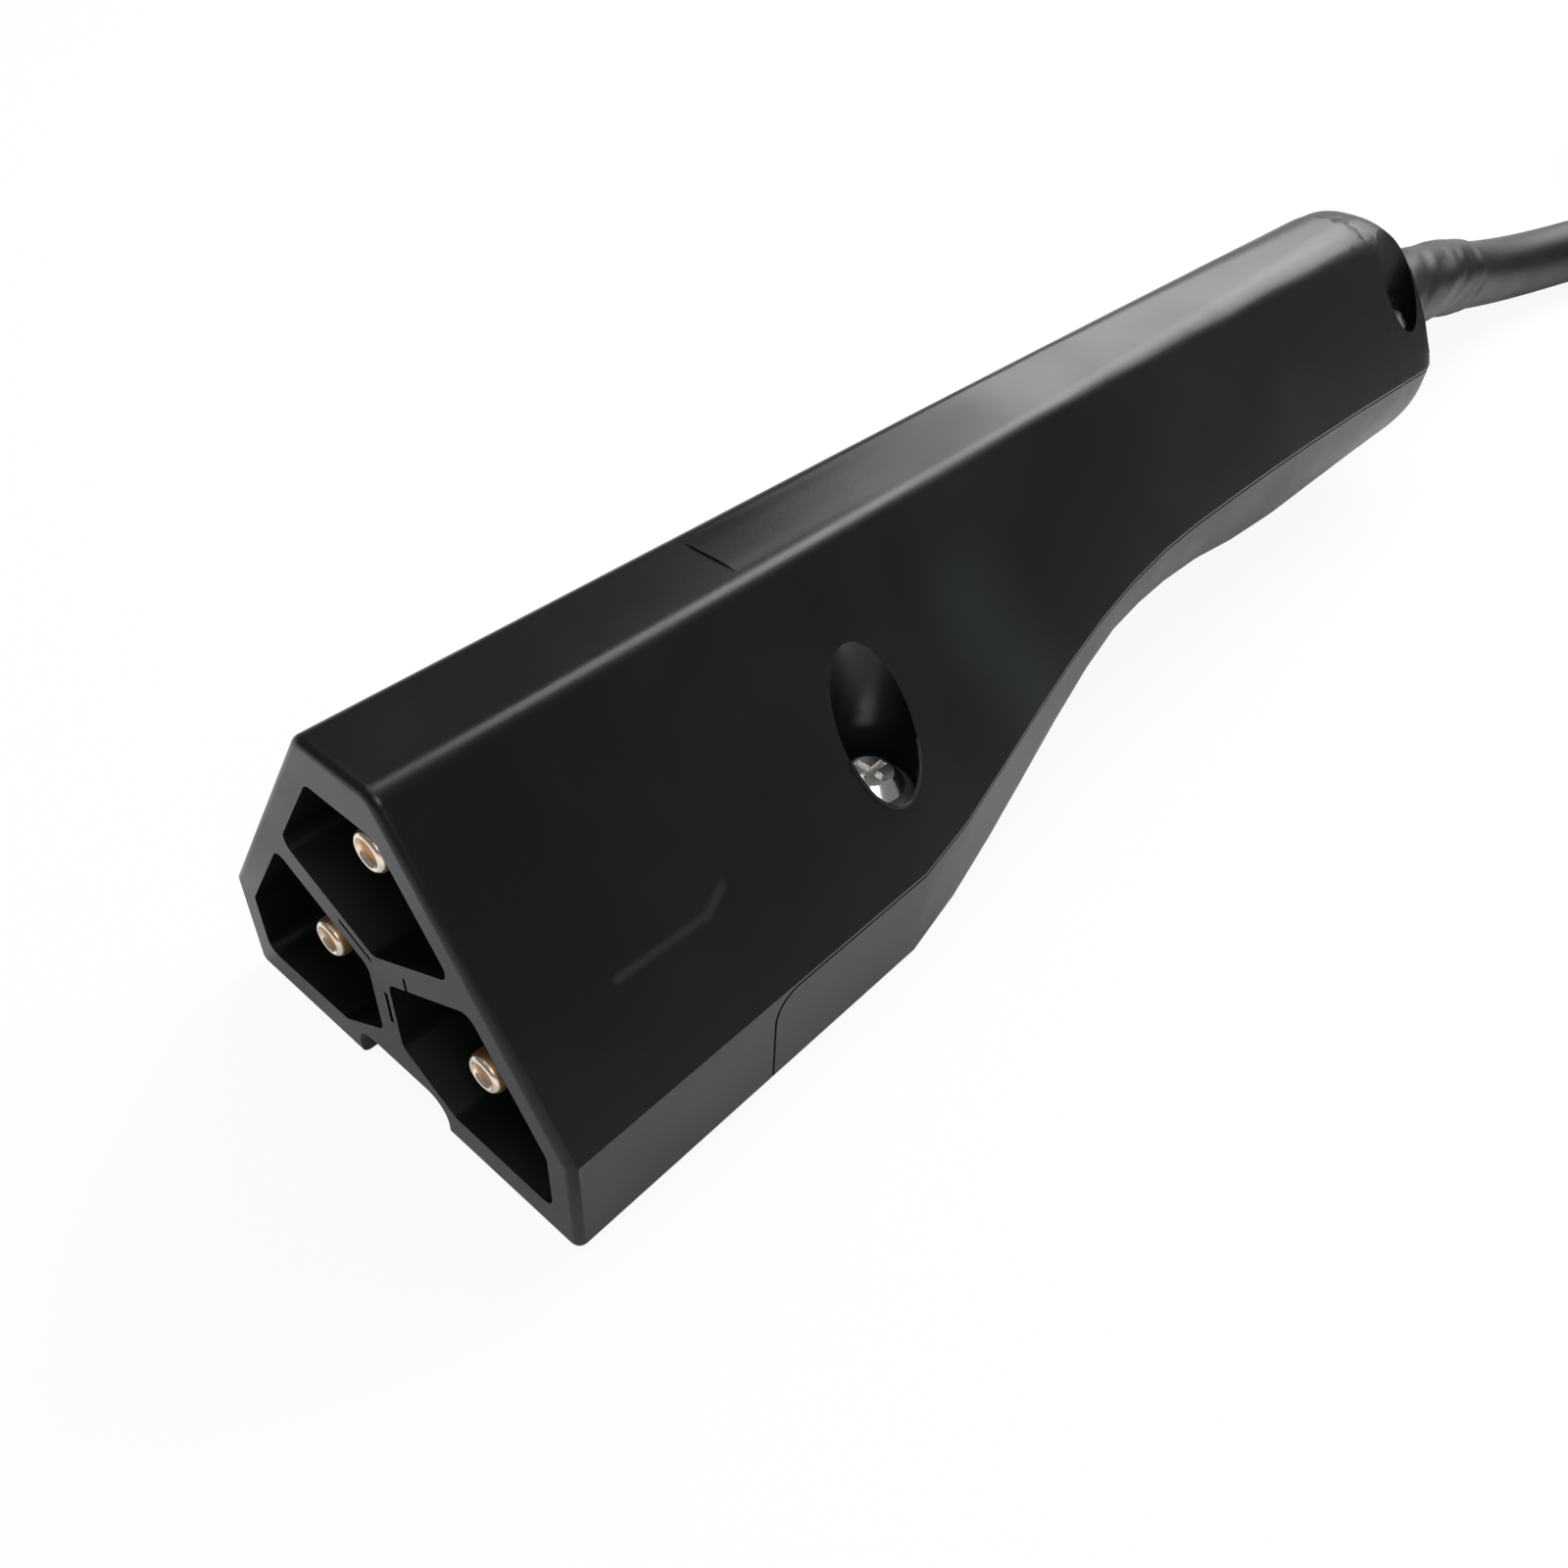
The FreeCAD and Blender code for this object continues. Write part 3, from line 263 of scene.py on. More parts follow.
class Surface(Enum):
    """The kinds of surface that a finish can have."""

    MOULDED = "moulded"
    METAL = "metal"
    JACKET = "jacket"

    @property
    def wear(self) -> Pair:
        """How much of the smears and how much of the streaks show."""
        return (0.55, 0.5) if self is Surface.METAL else (0.35, 0.3)


@dataclass(frozen=True)
class Patch:
    """One soft patch on a finish, along a line on the part; patches make scratches and painted
    light alike.

    Attributes:
        start: Where the line starts, in millimetres.
        end: Where it ends.
        full: How far from the line the patch is at its full strength.
        radius: How far it reaches.
        color: The colour that it brings.
        rough: What it adds to the roughness.
    """

    start: Triple
    end: Triple
    full: float
    radius: float
    color: Triple
    rough: float = 0.0


@dataclass(frozen=True)
class Finish:
    """One procedural finish.

    Attributes:
        name: The material's name.
        surface: The kind of surface.
        color: The base colour, linear.
        wear_and_shade: The colour that wear brings out, and on a pin's shank the painted shade.
        roughness: The roughness where the surface is clean.
        slot: The record's material slot, or nothing where it has the material's name; not used.
        grain: Patterns a metre in the fine bump.
        depth: The fine bump's depth in metres.
        specular: The specular level.
        specks: How large dust specks are, or 0 for none.
        painted_shade_from: Where along X a bright tip ends and painted shade darkens the shank
            behind it, in metres, or None for no such end.
        scratches_and_painted_light: Soft patches at places of their own, which make scratches and
            painted light.
    """

    name: str
    surface: Surface
    color: Triple
    wear_and_shade: Triple
    roughness: float
    slot: str = ""
    grain: float = 1800.0
    depth: float = 0.00002
    specular: float = 0.5
    specks: float = 0.0
    painted_shade_from: float | None = None
    scratches_and_painted_light: tuple[Patch, ...] = ()

    def build(self, effects: Effects) -> Material:
        """Makes the material.

        Args:
            effects: The shared groups.

        Returns:
            The material with its node tree.
        """
        material = bpy.data.materials.new(self.name)
        material.diffuse_color = (*self.color, 1.0)
        tree = fresh_tree(material)
        point = tree.add("TexCoord").outputs["Object"]
        marks = tree.group(effects.handling, Vector=point)
        height = tree.group(effects.grain, Vector=point, Scale=self.grain)["Height"]
        smears, streaks = self.surface.wear
        smeared = tree.math("MULTIPLY", marks["Smear"], smears)
        streaked = tree.math("MULTIPLY", marks["Streak"], streaks)
        color = tree.mix(tree.math("ADD", smeared, streaked, clamp=True), self.color, self.wear_and_shade)
        if self.specks:
            dust = tree.group(effects.specks, Vector=point, Size=self.specks)["Mask"]
            color = tree.mix(dust, color, DUST_COLOR)
        if self.painted_shade_from is None:
            rougher = tree.math("MULTIPLY", marks["Smear"], SMEAR_ROUGHNESS)
            rough = tree.math("ADD", self.roughness, rougher, clamp=True)
        else:
            # Painted shade: behind the bright tip along X, the pin's shank takes the darker colour,
            # and more roughness.
            along = tree.add("SeparateXYZ", {0: point}).outputs[0]
            shaded_shank = tree.span(along, self.painted_shade_from, self.painted_shade_from + SHADE_FADE)
            color = tree.mix(shaded_shank, color, self.wear_and_shade)
            rough = tree.math("MULTIPLY_ADD", shaded_shank, SHANK_ROUGHNESS, self.roughness)
        # Scratches, a painted sheen and painted light in recesses go into the colour and the
        # roughness here.
        for patch in self.scratches_and_painted_light:
            start = Vector(patch.start) * MM
            mask = tree.group(
                effects.patch, Vector=point, Start=start, Way=Vector(patch.end) * MM - start,
                Full=patch.full * MM, Radius=patch.radius * MM,
            )["Mask"]
            color = tree.mix(mask, color, patch.color)
            rough = tree.math("ADD", rough, tree.math("MULTIPLY", mask, patch.rough))
        if self.surface is Surface.JACKET:
            weave = tree.math("MULTIPLY", tree.noise(point, WEAVE_SCALE, 2.0), WEAVE_HEIGHT)
            height = tree.math("ADD", height, weave)
        values = {"Height": height, "Distance": self.depth, "Strength": BUMP_STRENGTH}
        bump = tree.add("Bump", values)
        shader = tree.add("BsdfPrincipled", {
            "Base Color": color, "Roughness": rough, "Normal": bump.outputs[0],
            "Metallic": float(self.surface is Surface.METAL), "Specular IOR Level": self.specular,
        })
        tree.add("OutputMaterial", {"Surface": shader.outputs[0]})
        return material


SHELL_FINISH = Finish(
    "black_moulding", Surface.MOULDED, (0.0026, 0.0042, 0.0039), (0.005, 0.0078, 0.0072), 0.31,
    grain=2600.0, depth=0.000012, specular=0.36, specks=0.02,
    scratches_and_painted_light=(
        # A scratch on the near side, as two fine lighter lines.
        Patch((-81.9, -17.7, 21.0), (-71.6, -17.9, 20.8), 0.0, 0.7, (0.015, 0.0175, 0.017), 0.04),
        Patch((-71.6, -17.9, 20.8), (-69.1, -17.2, 21.9), 0.0, 0.9, (0.013, 0.0155, 0.015), 0.04),
        # Painted reflection: a broad soft sheen on the near side, lighter in colour and a little
        # rougher.
        Patch((-28.5, -12.4, 28.9), (-22.5, -19.4, 18.4), 0.0, 10.0, (0.0085, 0.012, 0.0115), 0.03),
        # Painted light: the insides of both front screw scoops are made much lighter, standing in
        # for light that reaches into them.
        *(
            Patch((-45.8, side, 12.0), (-45.8, side, 36.0), 4.3, 4.75, (0.045, 0.052, 0.05))
            for side in (-15.1, 15.1)
        ),
    ),
)
CARRIER_FINISH = Finish(
    "carrier_moulding", Surface.MOULDED, (0.0045, 0.0055, 0.0052), (0.008, 0.009, 0.009), 0.5,
    specular=0.3,
)
# Brass pins: a bright tip, and a shank darkened with painted shade past -91.38 mm along X.
BRASS_FINISH = Finish(
    "contact_brass", Surface.METAL, (1.0, 0.9, 0.79), (0.62, 0.36, 0.17), 0.2,
    grain=5200.0, depth=0.000004, painted_shade_from=-0.09138,
)
STEEL_FINISH = Finish(
    "plated_steel", Surface.METAL, (0.95, 0.94, 0.92), (0.8, 0.79, 0.77), 0.18, "screw_steel",
    grain=6200.0, depth=0.000004,
)
JACKET_FINISH = Finish(
    "cord_jacket", Surface.JACKET, (0.0075, 0.0085, 0.0085), (0.014, 0.015, 0.015), 0.42,
    grain=1500.0, specular=0.4,
)
SLEEVE_FINISH = Finish(
    "sleeve_rubber", Surface.JACKET, (0.008, 0.0095, 0.0092), (0.016, 0.018, 0.018), 0.44,
    grain=2200.0, specular=0.38,
)
POSITIVE_FINISH = Finish(
    "positive_insulation", Surface.JACKET, (0.42, 0.018, 0.014), (0.3, 0.012, 0.01), 0.4,
    "positive_lead", depth=0.00001,
)
NEGATIVE_FINISH = Finish(
    "negative_insulation", Surface.JACKET, (0.012, 0.012, 0.012), (0.02, 0.02, 0.02), 0.4,
    "negative_lead", depth=0.00001,
)
SENSE_FINISH = Finish(
    "sense_insulation", Surface.JACKET, (0.62, 0.62, 0.59), (0.48, 0.47, 0.44), 0.42,
    "sense_lead", depth=0.00001,
)
STRAP_FINISH = Finish(
    "tie_strap", Surface.JACKET, (0.02, 0.021, 0.022), (0.035, 0.035, 0.036), 0.75,
    grain=3000.0, depth=0.00006, specular=0.25,
)
TINNED_FINISH = Finish(
    "tinned_copper", Surface.METAL, (0.8, 0.79, 0.76), (0.62, 0.6, 0.56), 0.3, "tinned_ring",
    grain=4200.0, depth=0.000006,
)


# Meshes and curves


def unit(value: float) -> float:
    """Keeps a value from 0 to 1."""
    return min(max(value, 0.0), 1.0)


def from_axes(x: Vector, y: Vector, z: Vector) -> Matrix:
    """The turn whose axes are three directions square to each other."""
    return Matrix((x, y, z)).transposed().to_4x4()


def new_object(name: str, data: ID) -> Object:
    """Puts data into the scene as an object."""
    made = bpy.data.objects.new(name, data)
    bpy.context.collection.objects.link(made)
    return made


def new_mesh(name: str, form: BMesh) -> Mesh:
    """Turns a bmesh into a mesh and frees it."""
    mesh = bpy.data.meshes.new(name)
    form.to_mesh(mesh)
    form.free()
    return mesh


def wire(form: BMesh, points: list[Triple]) -> tuple[Verts, Edges]:
    """Adds a line of vertices and edges through points in metres."""
    verts = [form.verts.new(point) for point in points]
    return verts, [form.edges.new(pair) for pair in zip(verts, verts[1:])]


def extrude(form: BMesh, edges: Edges) -> tuple[Verts, Edges]:
    """Extrudes edges and returns the new vertices and edges, still where the old ones are."""
    made = bmesh.ops.extrude_edge_only(form, edges=edges)["geom"]
    verts = [part for part in made if isinstance(part, BMVert)]
    return verts, [part for part in made if isinstance(part, BMEdge)]


def ring_along(form: BMesh, spot: Vector, way: Vector, radii: list[float]) -> Edges:
    """Adds a ring of edges square to a direction, with a radius of its own at each point.

    Args:
        form: The bmesh.
        spot: The ring's centre.
        way: The direction along the tube.
        radii: The radius at each point round the ring.

    Returns:
        The ring's edges.
    """
    level = Vector((0, 0, 1)).cross(way).normalized()
    verts = bmesh.ops.create_circle(form, segments=len(radii), radius=1.0)["verts"]
    for vert, radius in zip(verts, radii):
        vert.co = vert.co.normalized() * radius
    place = Matrix.Translation(spot) @ from_axes(level, way.cross(level), way)
    bmesh.ops.transform(form, matrix=place, verts=verts)
    return list(dict.fromkeys(edge for vert in verts for edge in vert.link_edges))


def lathe(profile: tuple[Pair, ...], sides: int, place: Matrix) -> BMesh:
    """Spins a profile of (along, radius) points in millimetres round the X axis.

    Args:
        profile: The points from one end on the axis to the other.
        sides: The number of steps.
        place: From the form's own axis to where it stands on the part.

    Returns:
        The closed form.
    """
    form = bmesh.new()
    verts, edges = wire(form, [(along * MM, 0.0, radius * MM) for along, radius in profile])
    bmesh.ops.spin(
        form, geom=verts + edges, cent=(0, 0, 0), axis=(1, 0, 0), angle=math.tau, steps=sides,
        use_merge=True,
    )
    bmesh.ops.remove_doubles(form, verts=form.verts, dist=MERGE / 2)
    bmesh.ops.recalc_face_normals(form, faces=form.faces)
    bmesh.ops.transform(form, matrix=place, verts=form.verts)
    return form


def cord_curve(
    name: str, points: list[Vector], radius: float, sides: int = 6, steps: int = 10,
) -> Curve:
    """Makes a round cord on one open NURBS spline.

    Args:
        name: The curve's name.
        points: The control points in metres.
        radius: The cord's radius in metres, or 0 for the bare line.
        sides: The bevel's resolution.
        steps: The steps between two control points.

    Returns:
        The curve.
    """
    curve = bpy.data.curves.new(name, "CURVE")
    curve.dimensions = "3D"
    curve.resolution_u = steps
    curve.bevel_depth = radius
    curve.bevel_resolution = sides
    curve.use_fill_caps = radius > 0
    spline = curve.splines.new("NURBS")
    spline.points.add(len(points) - 1)
    for spot, point in zip(spline.points, points):
        spot.co = (*point, 1.0)
    spline.order_u = 3
    spline.use_endpoint_u = True
    return curve


def line_points(points: list[Vector]) -> list[Vector]:
    """Reads the points of a cord's own line, with no thickness.

    Args:
        points: The control points in metres.

    Returns:
        The points along the line.
    """
    probe = bpy.data.objects.new("line_probe", cord_curve("line_probe", points, 0.0))
    mesh = bpy.data.meshes.new_from_object(probe)
    line = [vertex.co.copy() for vertex in mesh.vertices]
    bpy.data.meshes.remove(mesh)
    bpy.data.objects.remove(probe)
    return line


def line_length(line: list[Vector]) -> float:
    """The length of a line through points."""
    return sum((b - a).length for a, b in zip(line, line[1:]))


@dataclass(frozen=True)
class TailRound:
    """The domed end of the handle's tail, in millimetres.

    Attributes:
        start: Where along X the dome starts.
        end: The tail's end.
        axis: The height of the cord's axis, round which the dome runs.
        first: The dome's radius where it starts.
        last: Its radius at the end.
        keep: The share of what lies past the dome that stays, so that walls keep their order.
        blend: The width over which the dome and the sides blend.
        rings: How many rings of vertices carry the curve.
        spokes: How many cuts run through the axis.
    """

    start: float = 77.0
    end: float = 93.0
    axis: float = 19.5
    first: float = 21.0
    last: float = 9.6
    keep: float = 0.15
    blend: float = 1.1
    rings: int = 10
    spokes: int = 12

    def apply(self, form: BMesh) -> None:
        """Cuts the tail into rings and spokes and draws in what lies past the dome.

        Args:
            form: The bmesh of a moulding, in metres.
        """
        run = self.end - self.start
        for step in range(self.rings):
            along = (self.start + run * math.sin(math.pi / 2 * step / self.rings)) * MM
            parts = form.verts[:] + form.edges[:] + form.faces[:]
            bmesh.ops.bisect_plane(form, geom=parts, plane_co=(along, 0, 0), plane_no=(1, 0, 0))
        centre = Vector((0, 0, self.axis)) * MM
        before = self.start * MM - MERGE
        for step in range(self.spokes):
            turn = math.pi * (step + 0.5) / self.spokes
            faces = [face for face in form.faces if all(vert.co.x > before for vert in face.verts)]
            parts = dict.fromkeys(
                part for face in faces for part in (*face.verts, *face.edges, face)
            )
            square = (0, math.cos(turn), math.sin(turn))
            bmesh.ops.bisect_plane(form, geom=list(parts), plane_co=centre, plane_no=square)
        for vert in form.verts:
            share = min((vert.co.x / MM - self.start) / run, 1.0)
            if share <= 0 or abs(vert.co.y) + abs(vert.co.z - centre.z) < self.last * MM:
                continue
            limit = (self.last + (self.first - self.last) * math.sqrt(1 - share * share)) * MM
            off = Vector((0, vert.co.y, vert.co.z)) - centre
            past = off.length - limit
            past = (past + math.hypot(past, self.blend * MM)) / 2
            drawn = centre + off * (1 - past * (1 - self.keep) / off.length)
            vert.co.y, vert.co.z = drawn.y, drawn.z


# Pieces


class Workshop:
    """Builds each finish once and makes the pieces that have them."""

    flat_weight = 80

    def __init__(self) -> None:
        """Starts with the shared effects and no material."""
        self.effects = Effects()
        self.materials: dict[str, Material] = {}

    def piece(self, name: str, data: ID, finish: Finish) -> Object:
        """Puts a mesh or curve into the scene as a piece that rides on the plug.

        Args:
            name: The piece's name.
            data: Its mesh or curve.
            finish: Its finish.

        Returns:
            The new object.
        """
        if finish.name not in self.materials:
            self.materials[finish.name] = finish.build(self.effects)
        data.materials.append(self.materials[finish.name])
        piece = new_object(name, data)
        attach(piece, BODY)
        log.info("piece %s in %s", name, finish.name)
        return piece

    def form(self, name: str, form: BMesh, finish: Finish, crease: float) -> Object:
        """Makes a piece of a bmesh, smooth but for its edges over an angle.

        Args:
            name: The piece's name.
            form: The bmesh, which is freed.
            finish: Its finish.
            crease: The angle in degrees.

        Returns:
            The new object.
        """
        limit = math.radians(crease)
        for face in form.faces:
            face.smooth = True
        for edge in form.edges:
            edge.smooth = len(edge.link_faces) == 2 and edge.calc_face_angle(0.0) < limit
        return self.piece(name, new_mesh(name, form), finish)

    def copy(
        self, node: str, finish: Finish, crease: float = 33.0, tail: TailRound | None = None,
    ) -> Object:
        """Makes a merged copy of a solid's mesh with soft shading, shown in the solid's place.

        Args:
            node: The solid's node.
            finish: The copy's finish.
            crease: The angle over which an edge stays crisp, in degrees.
            tail: The rounding of the handle's tail, for a moulding that has it.

        Returns:
            The new object.
        """
        form = bmesh.new()
        form.from_mesh(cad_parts[node].data)
        bmesh.ops.remove_doubles(form, verts=form.verts, dist=MERGE)
        bmesh.ops.dissolve_degenerate(form, edges=form.edges, dist=MERGE)
        if tail is not None:
            tail.apply(form)
        piece = self.form(node + "_form", form, finish, crease)
        weighted = piece.modifiers.new("flat_faces_stay_flat", "WEIGHTED_NORMAL")
        weighted.keep_sharp = True
        weighted.weight = self.flat_weight
        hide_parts(node)
        return piece


# The studio


def seen_rays(tree: Tree) -> tuple[Socket, Socket]:
    """Gives 1 for rays from the camera or through glass, and 1 for rays off gloss."""
    path = tree.add("LightPath").outputs
    seen = tree.math("MAXIMUM", path["Is Camera Ray"], path["Is Transmission Ray"])
    return seen, path["Is Glossy Ray"]


@dataclass
class Studio:
    """The camera, the floor, the world and the lamps, in metres.

    The camera sees the share floor_white of plain white in the floor, and a reflection the share
    floor_gloss. The world lights with world_level, and with gloss_share more in a reflection.
    """

    lens: float = 30.944
    place: Triple = (-0.12816, -0.0724, 0.10508)
    right: Triple = (0.664, -0.747, 0.039)
    up: Triple = (0.475, 0.462, 0.749)
    floor_size: float = 12.0
    floor_color: Triple = (0.82, 0.82, 0.82)
    floor_white: float = 0.92
    floor_gloss: float = 0.15
    world_level: float = 0.12
    gloss_share: float = 0.05
    aim: Triple = (0.02, 0.0, 0.02)

    def build(self) -> None:
        """Makes the whole studio."""
        self._camera()
        self._floor()
        self._world()
        self._lamp("overhead", (-0.1, 0.2, 1.1), (0.9, 0.9), 4.0)
        self._lamp("far_window", (0.98, 0.2, 0.52), (1.0, 0.32), 4.6)
        self._lamp("far_top", (0.68, 0.08, 0.89), (0.55, 0.6), 8.0)
        self._lamp("near_left", (-0.5, -0.85, 1.05), (0.6, 0.6), 7.0)

    def _camera(self) -> None:
        """Stands the camera where the photograph was taken."""
        data = bpy.data.cameras.new("photo_view")
        data.lens = self.lens
        data.sensor_width = 36.0
        data.clip_start = 0.005
        right = Vector(self.right).normalized()
        up = Vector(self.up)
        up = (up - right * up.dot(right)).normalized()
        turn = from_axes(right, up, right.cross(up))
        camera = new_object("photo_view", data)
        camera.matrix_world = Matrix.Translation(Vector(self.place)) @ turn
        bpy.context.scene.camera = camera

    def _floor(self) -> None:
        """Lays a plain pale floor that keeps the shadow."""
        form = bmesh.new()
        bmesh.ops.create_grid(form, x_segments=1, y_segments=1, size=self.floor_size)
        floor = new_object("floor", new_mesh("floor", form))
        material = bpy.data.materials.new("pale_floor")
        tree = fresh_tree(material)
        seen, glossy = seen_rays(tree)
        lit = tree.add("BsdfDiffuse", {"Color": (*self.floor_color, 1.0)})
        plain = tree.add("Emission", {"Color": (1.0, 1.0, 1.0, 1.0), "Strength": 1.0})
        share = tree.math("MULTIPLY", glossy, self.floor_gloss)
        share = tree.math("MAXIMUM", share, tree.math("MULTIPLY", seen, self.floor_white))
        mixed = tree.add("MixShader", {0: share, 1: lit.outputs[0], 2: plain.outputs[0]})
        tree.add("OutputMaterial", {"Surface": mixed.outputs[0]})
        floor.data.materials.append(material)

    def _world(self) -> None:
        """Makes a plain world, white behind the object and grey as a light."""
        world = bpy.data.worlds.new("plain_world")
        tree = fresh_tree(world)
        seen, glossy = seen_rays(tree)
        dim = tree.math("MULTIPLY_ADD", glossy, self.gloss_share, self.world_level)
        strength = tree.math("MAXIMUM", seen, dim)
        light = tree.add("Background", {"Color": (1.0, 1.0, 1.0, 1.0), "Strength": strength})
        tree.add("OutputWorld", {"Surface": light.outputs[0]})
        bpy.context.scene.world = world

    def _lamp(self, name: str, place: Triple, sides: Pair, power: float) -> None:
        """Hangs one soft lamp that faces the plug.

        Args:
            name: The lamp's name.
            place: Where it hangs.
            sides: Its width and height in metres.
            power: Its power in watts.
        """
        data = bpy.data.lights.new(name, "AREA")
        data.shape = "RECTANGLE"
        data.size, data.size_y = sides
        data.energy = power
        turn = (Vector(self.aim) - Vector(place)).to_track_quat("-Z", "Y").to_matrix().to_4x4()
        new_object(name, data).matrix_world = Matrix.Translation(Vector(place)) @ turn


# The cord and its far end


@dataclass
class Hank:
    """The lie of the spare cord: turns round two folds, two turns wide and three high.

    Lengths are in millimetres, angles in degrees, and a shift's span, start and lag in turns.
    """

    near: Pair = (318.0, -33.5)
    run: float = 62.0
    outer: float = 49.8
    inner: float = 37.3
    pitch: float = 12.5
    rest: float = 7.5
    top_level: float = 45.85
    enter_angle: float = 227.45
    leave_angle: float = 284.0
    laps: int = 6
    turn_points: int = 24
    shift_span: float = 0.19
    shift_start: float = 0.70
    shift_lag: float = 0.052

    @property
    def middle(self) -> float:
        """The radius of the folds halfway between the two turns of a layer."""
        return (self.outer + self.inner) / 2

    @property
    def lap(self) -> float:
        """The length of one turn along the middle."""
        return 2 * self.run + math.tau * self.middle

    def _shifts(self) -> list[Triple]:
        """Where each move starts, in turns, and its change of radius and of height."""
        over, up = self.inner - self.outer, self.pitch
        moves = [(over, 0.0), (0.0, up), (-over, 0.0), (0.0, up), (over, 0.0)]
        moves.append((0.0, self.top_level - self.rest - 2 * up))
        starts = [self.shift_start + turn * (1 - self.shift_lag) for turn in range(self.laps)]
        shifts = [(start, *move) for start, move in zip(starts, moves)]
        return shifts + [(starts[-1] + self.shift_span / 2, self.middle - self.inner, 0.0)]

    def _cell(self, turn: float) -> Pair:
        """The radius and height of the cord at a place, counted in turns."""
        radius, height = self.outer, self.rest
        for start, outward, upward in self._shifts():
            eased = 0.5 - 0.5 * math.cos(math.pi * unit((turn - start) / self.shift_span))
            radius += outward * eased
            height += upward * eased
        return radius, height

    def _spot(self, turn: float, swell: float) -> Vector:
        """A control point at a place counted in turns from the near fold's end.

        Args:
            turn: The place, where the last lap runs on round the near fold.
            swell: How far outside a fold its control points stand, as a factor.

        Returns:
            The point in millimetres.
        """
        radius, height = self._cell(turn)
        along = (turn - min(math.floor(turn), self.laps - 1)) * self.lap
        fold = math.pi * self.middle
        near_x, near_y = self.near
        if along < self.run:
            return Vector((near_x + along, near_y - radius, height))
        if along < self.run + fold:
            angle = (along - self.run) / self.middle - math.pi / 2
            centre = near_x + self.run
        elif along < 2 * self.run + fold:
            return Vector((near_x + 2 * self.run + fold - along, near_y + radius, height))
        else:
            angle = (along - 2 * self.run - fold) / self.middle + math.pi / 2
            centre = near_x
        radius *= swell
        x, y = centre + radius * math.cos(angle), near_y + radius * math.sin(angle)
        return Vector((x, y, height))

    def _past_fold(self, angle: float) -> float:
        """How far past the near fold's end an angle on it is, in turns."""
        return (math.radians(angle - 270.0) * self.middle) / self.lap

    def points(self) -> list[Vector]:
        """The control points of all the turns, in millimetres, with one before and one after them.

        Those two stand on the straight runs in and out, as far from the fold as the next point is.
        """
        first = self._past_fold(self.enter_angle)
        last = self.laps + self._past_fold(self.leave_angle)
        count = round((last - first) * self.turn_points)
        step = (last - first) / count
        half_step = step * self.lap / self.middle / 2
        swell, reach = 1 / math.cos(half_step), math.tan(half_step)
        turns = [self._spot(first + (index + 0.5) * step, swell) for index in range(count)]
        before = self._beside(self.enter_angle, turns[0], 2 * self.outer * reach, -1)
        after = self._beside(self.leave_angle, turns[-1], 2 * self.middle * reach, 1)
        return [before] + turns + [after]

    def _beside(self, angle: float, point: Vector, reach: float, sign: int) -> Vector:
        """A point ahead of another or behind it, in the fold's direction at an angle in degrees."""
        turn = math.radians(angle)
        return point + Vector((-math.sin(turn), math.cos(turn), 0.0)) * (reach * sign)


@dataclass
class CordSet:
    """The cord from the tail to its ring terminals, with its sleeve, tie, boot and short leads.

    All lengths are in millimetres and the heading is in degrees.
    """

    shop: Workshop
    radius: float = 6.2
    tail: Triple = (93.0, 0.0, 19.5)
    first_run: float = 29.0
    fall_run: float = 55.0
    rest: float = 6.25
    heading: float = 16.9
    lead_in_run: float = 48.0
    cord_end: Triple = (351.84, -69.95, 45.85)
    hank: Hank = field(default_factory=Hank)

    def route(self) -> list[Vector]:
        """The cord's control points from the tail to the boot, in metres."""
        tail = Vector(self.tail)
        first = tail + Vector((self.first_run, 0, 0))
        floor = first + Vector((self.fall_run, 0, self.rest - self.tail[2]))
        angle = math.radians(self.heading)
        approach = floor + Vector((math.cos(angle), -math.sin(angle), 0)) * self.lead_in_run
        approach.z = self.hank.rest
        points = [tail, first, floor, approach] + self.hank.points() + [Vector(self.cord_end)]
        return [point * MM for point in points]

    def build(self) -> None:
        points = self.route()
        line = line_points(points)
        curve = cord_curve("charging_cord", points, self.radius * MM)
        cord = self.shop.piece("charging_cord", curve, JACKET_FINISH)
        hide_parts("cord_lead", "cord_hank", "cord_tail")
        sleeve = Sleeve(self.shop, line).build()
        tie = Tie(self.shop).build()
        far_end = FarEnd(self.shop)
        far_end.boot()
        far_end.leads()
        log.info("the cord is %.3f m long", line_length(line))


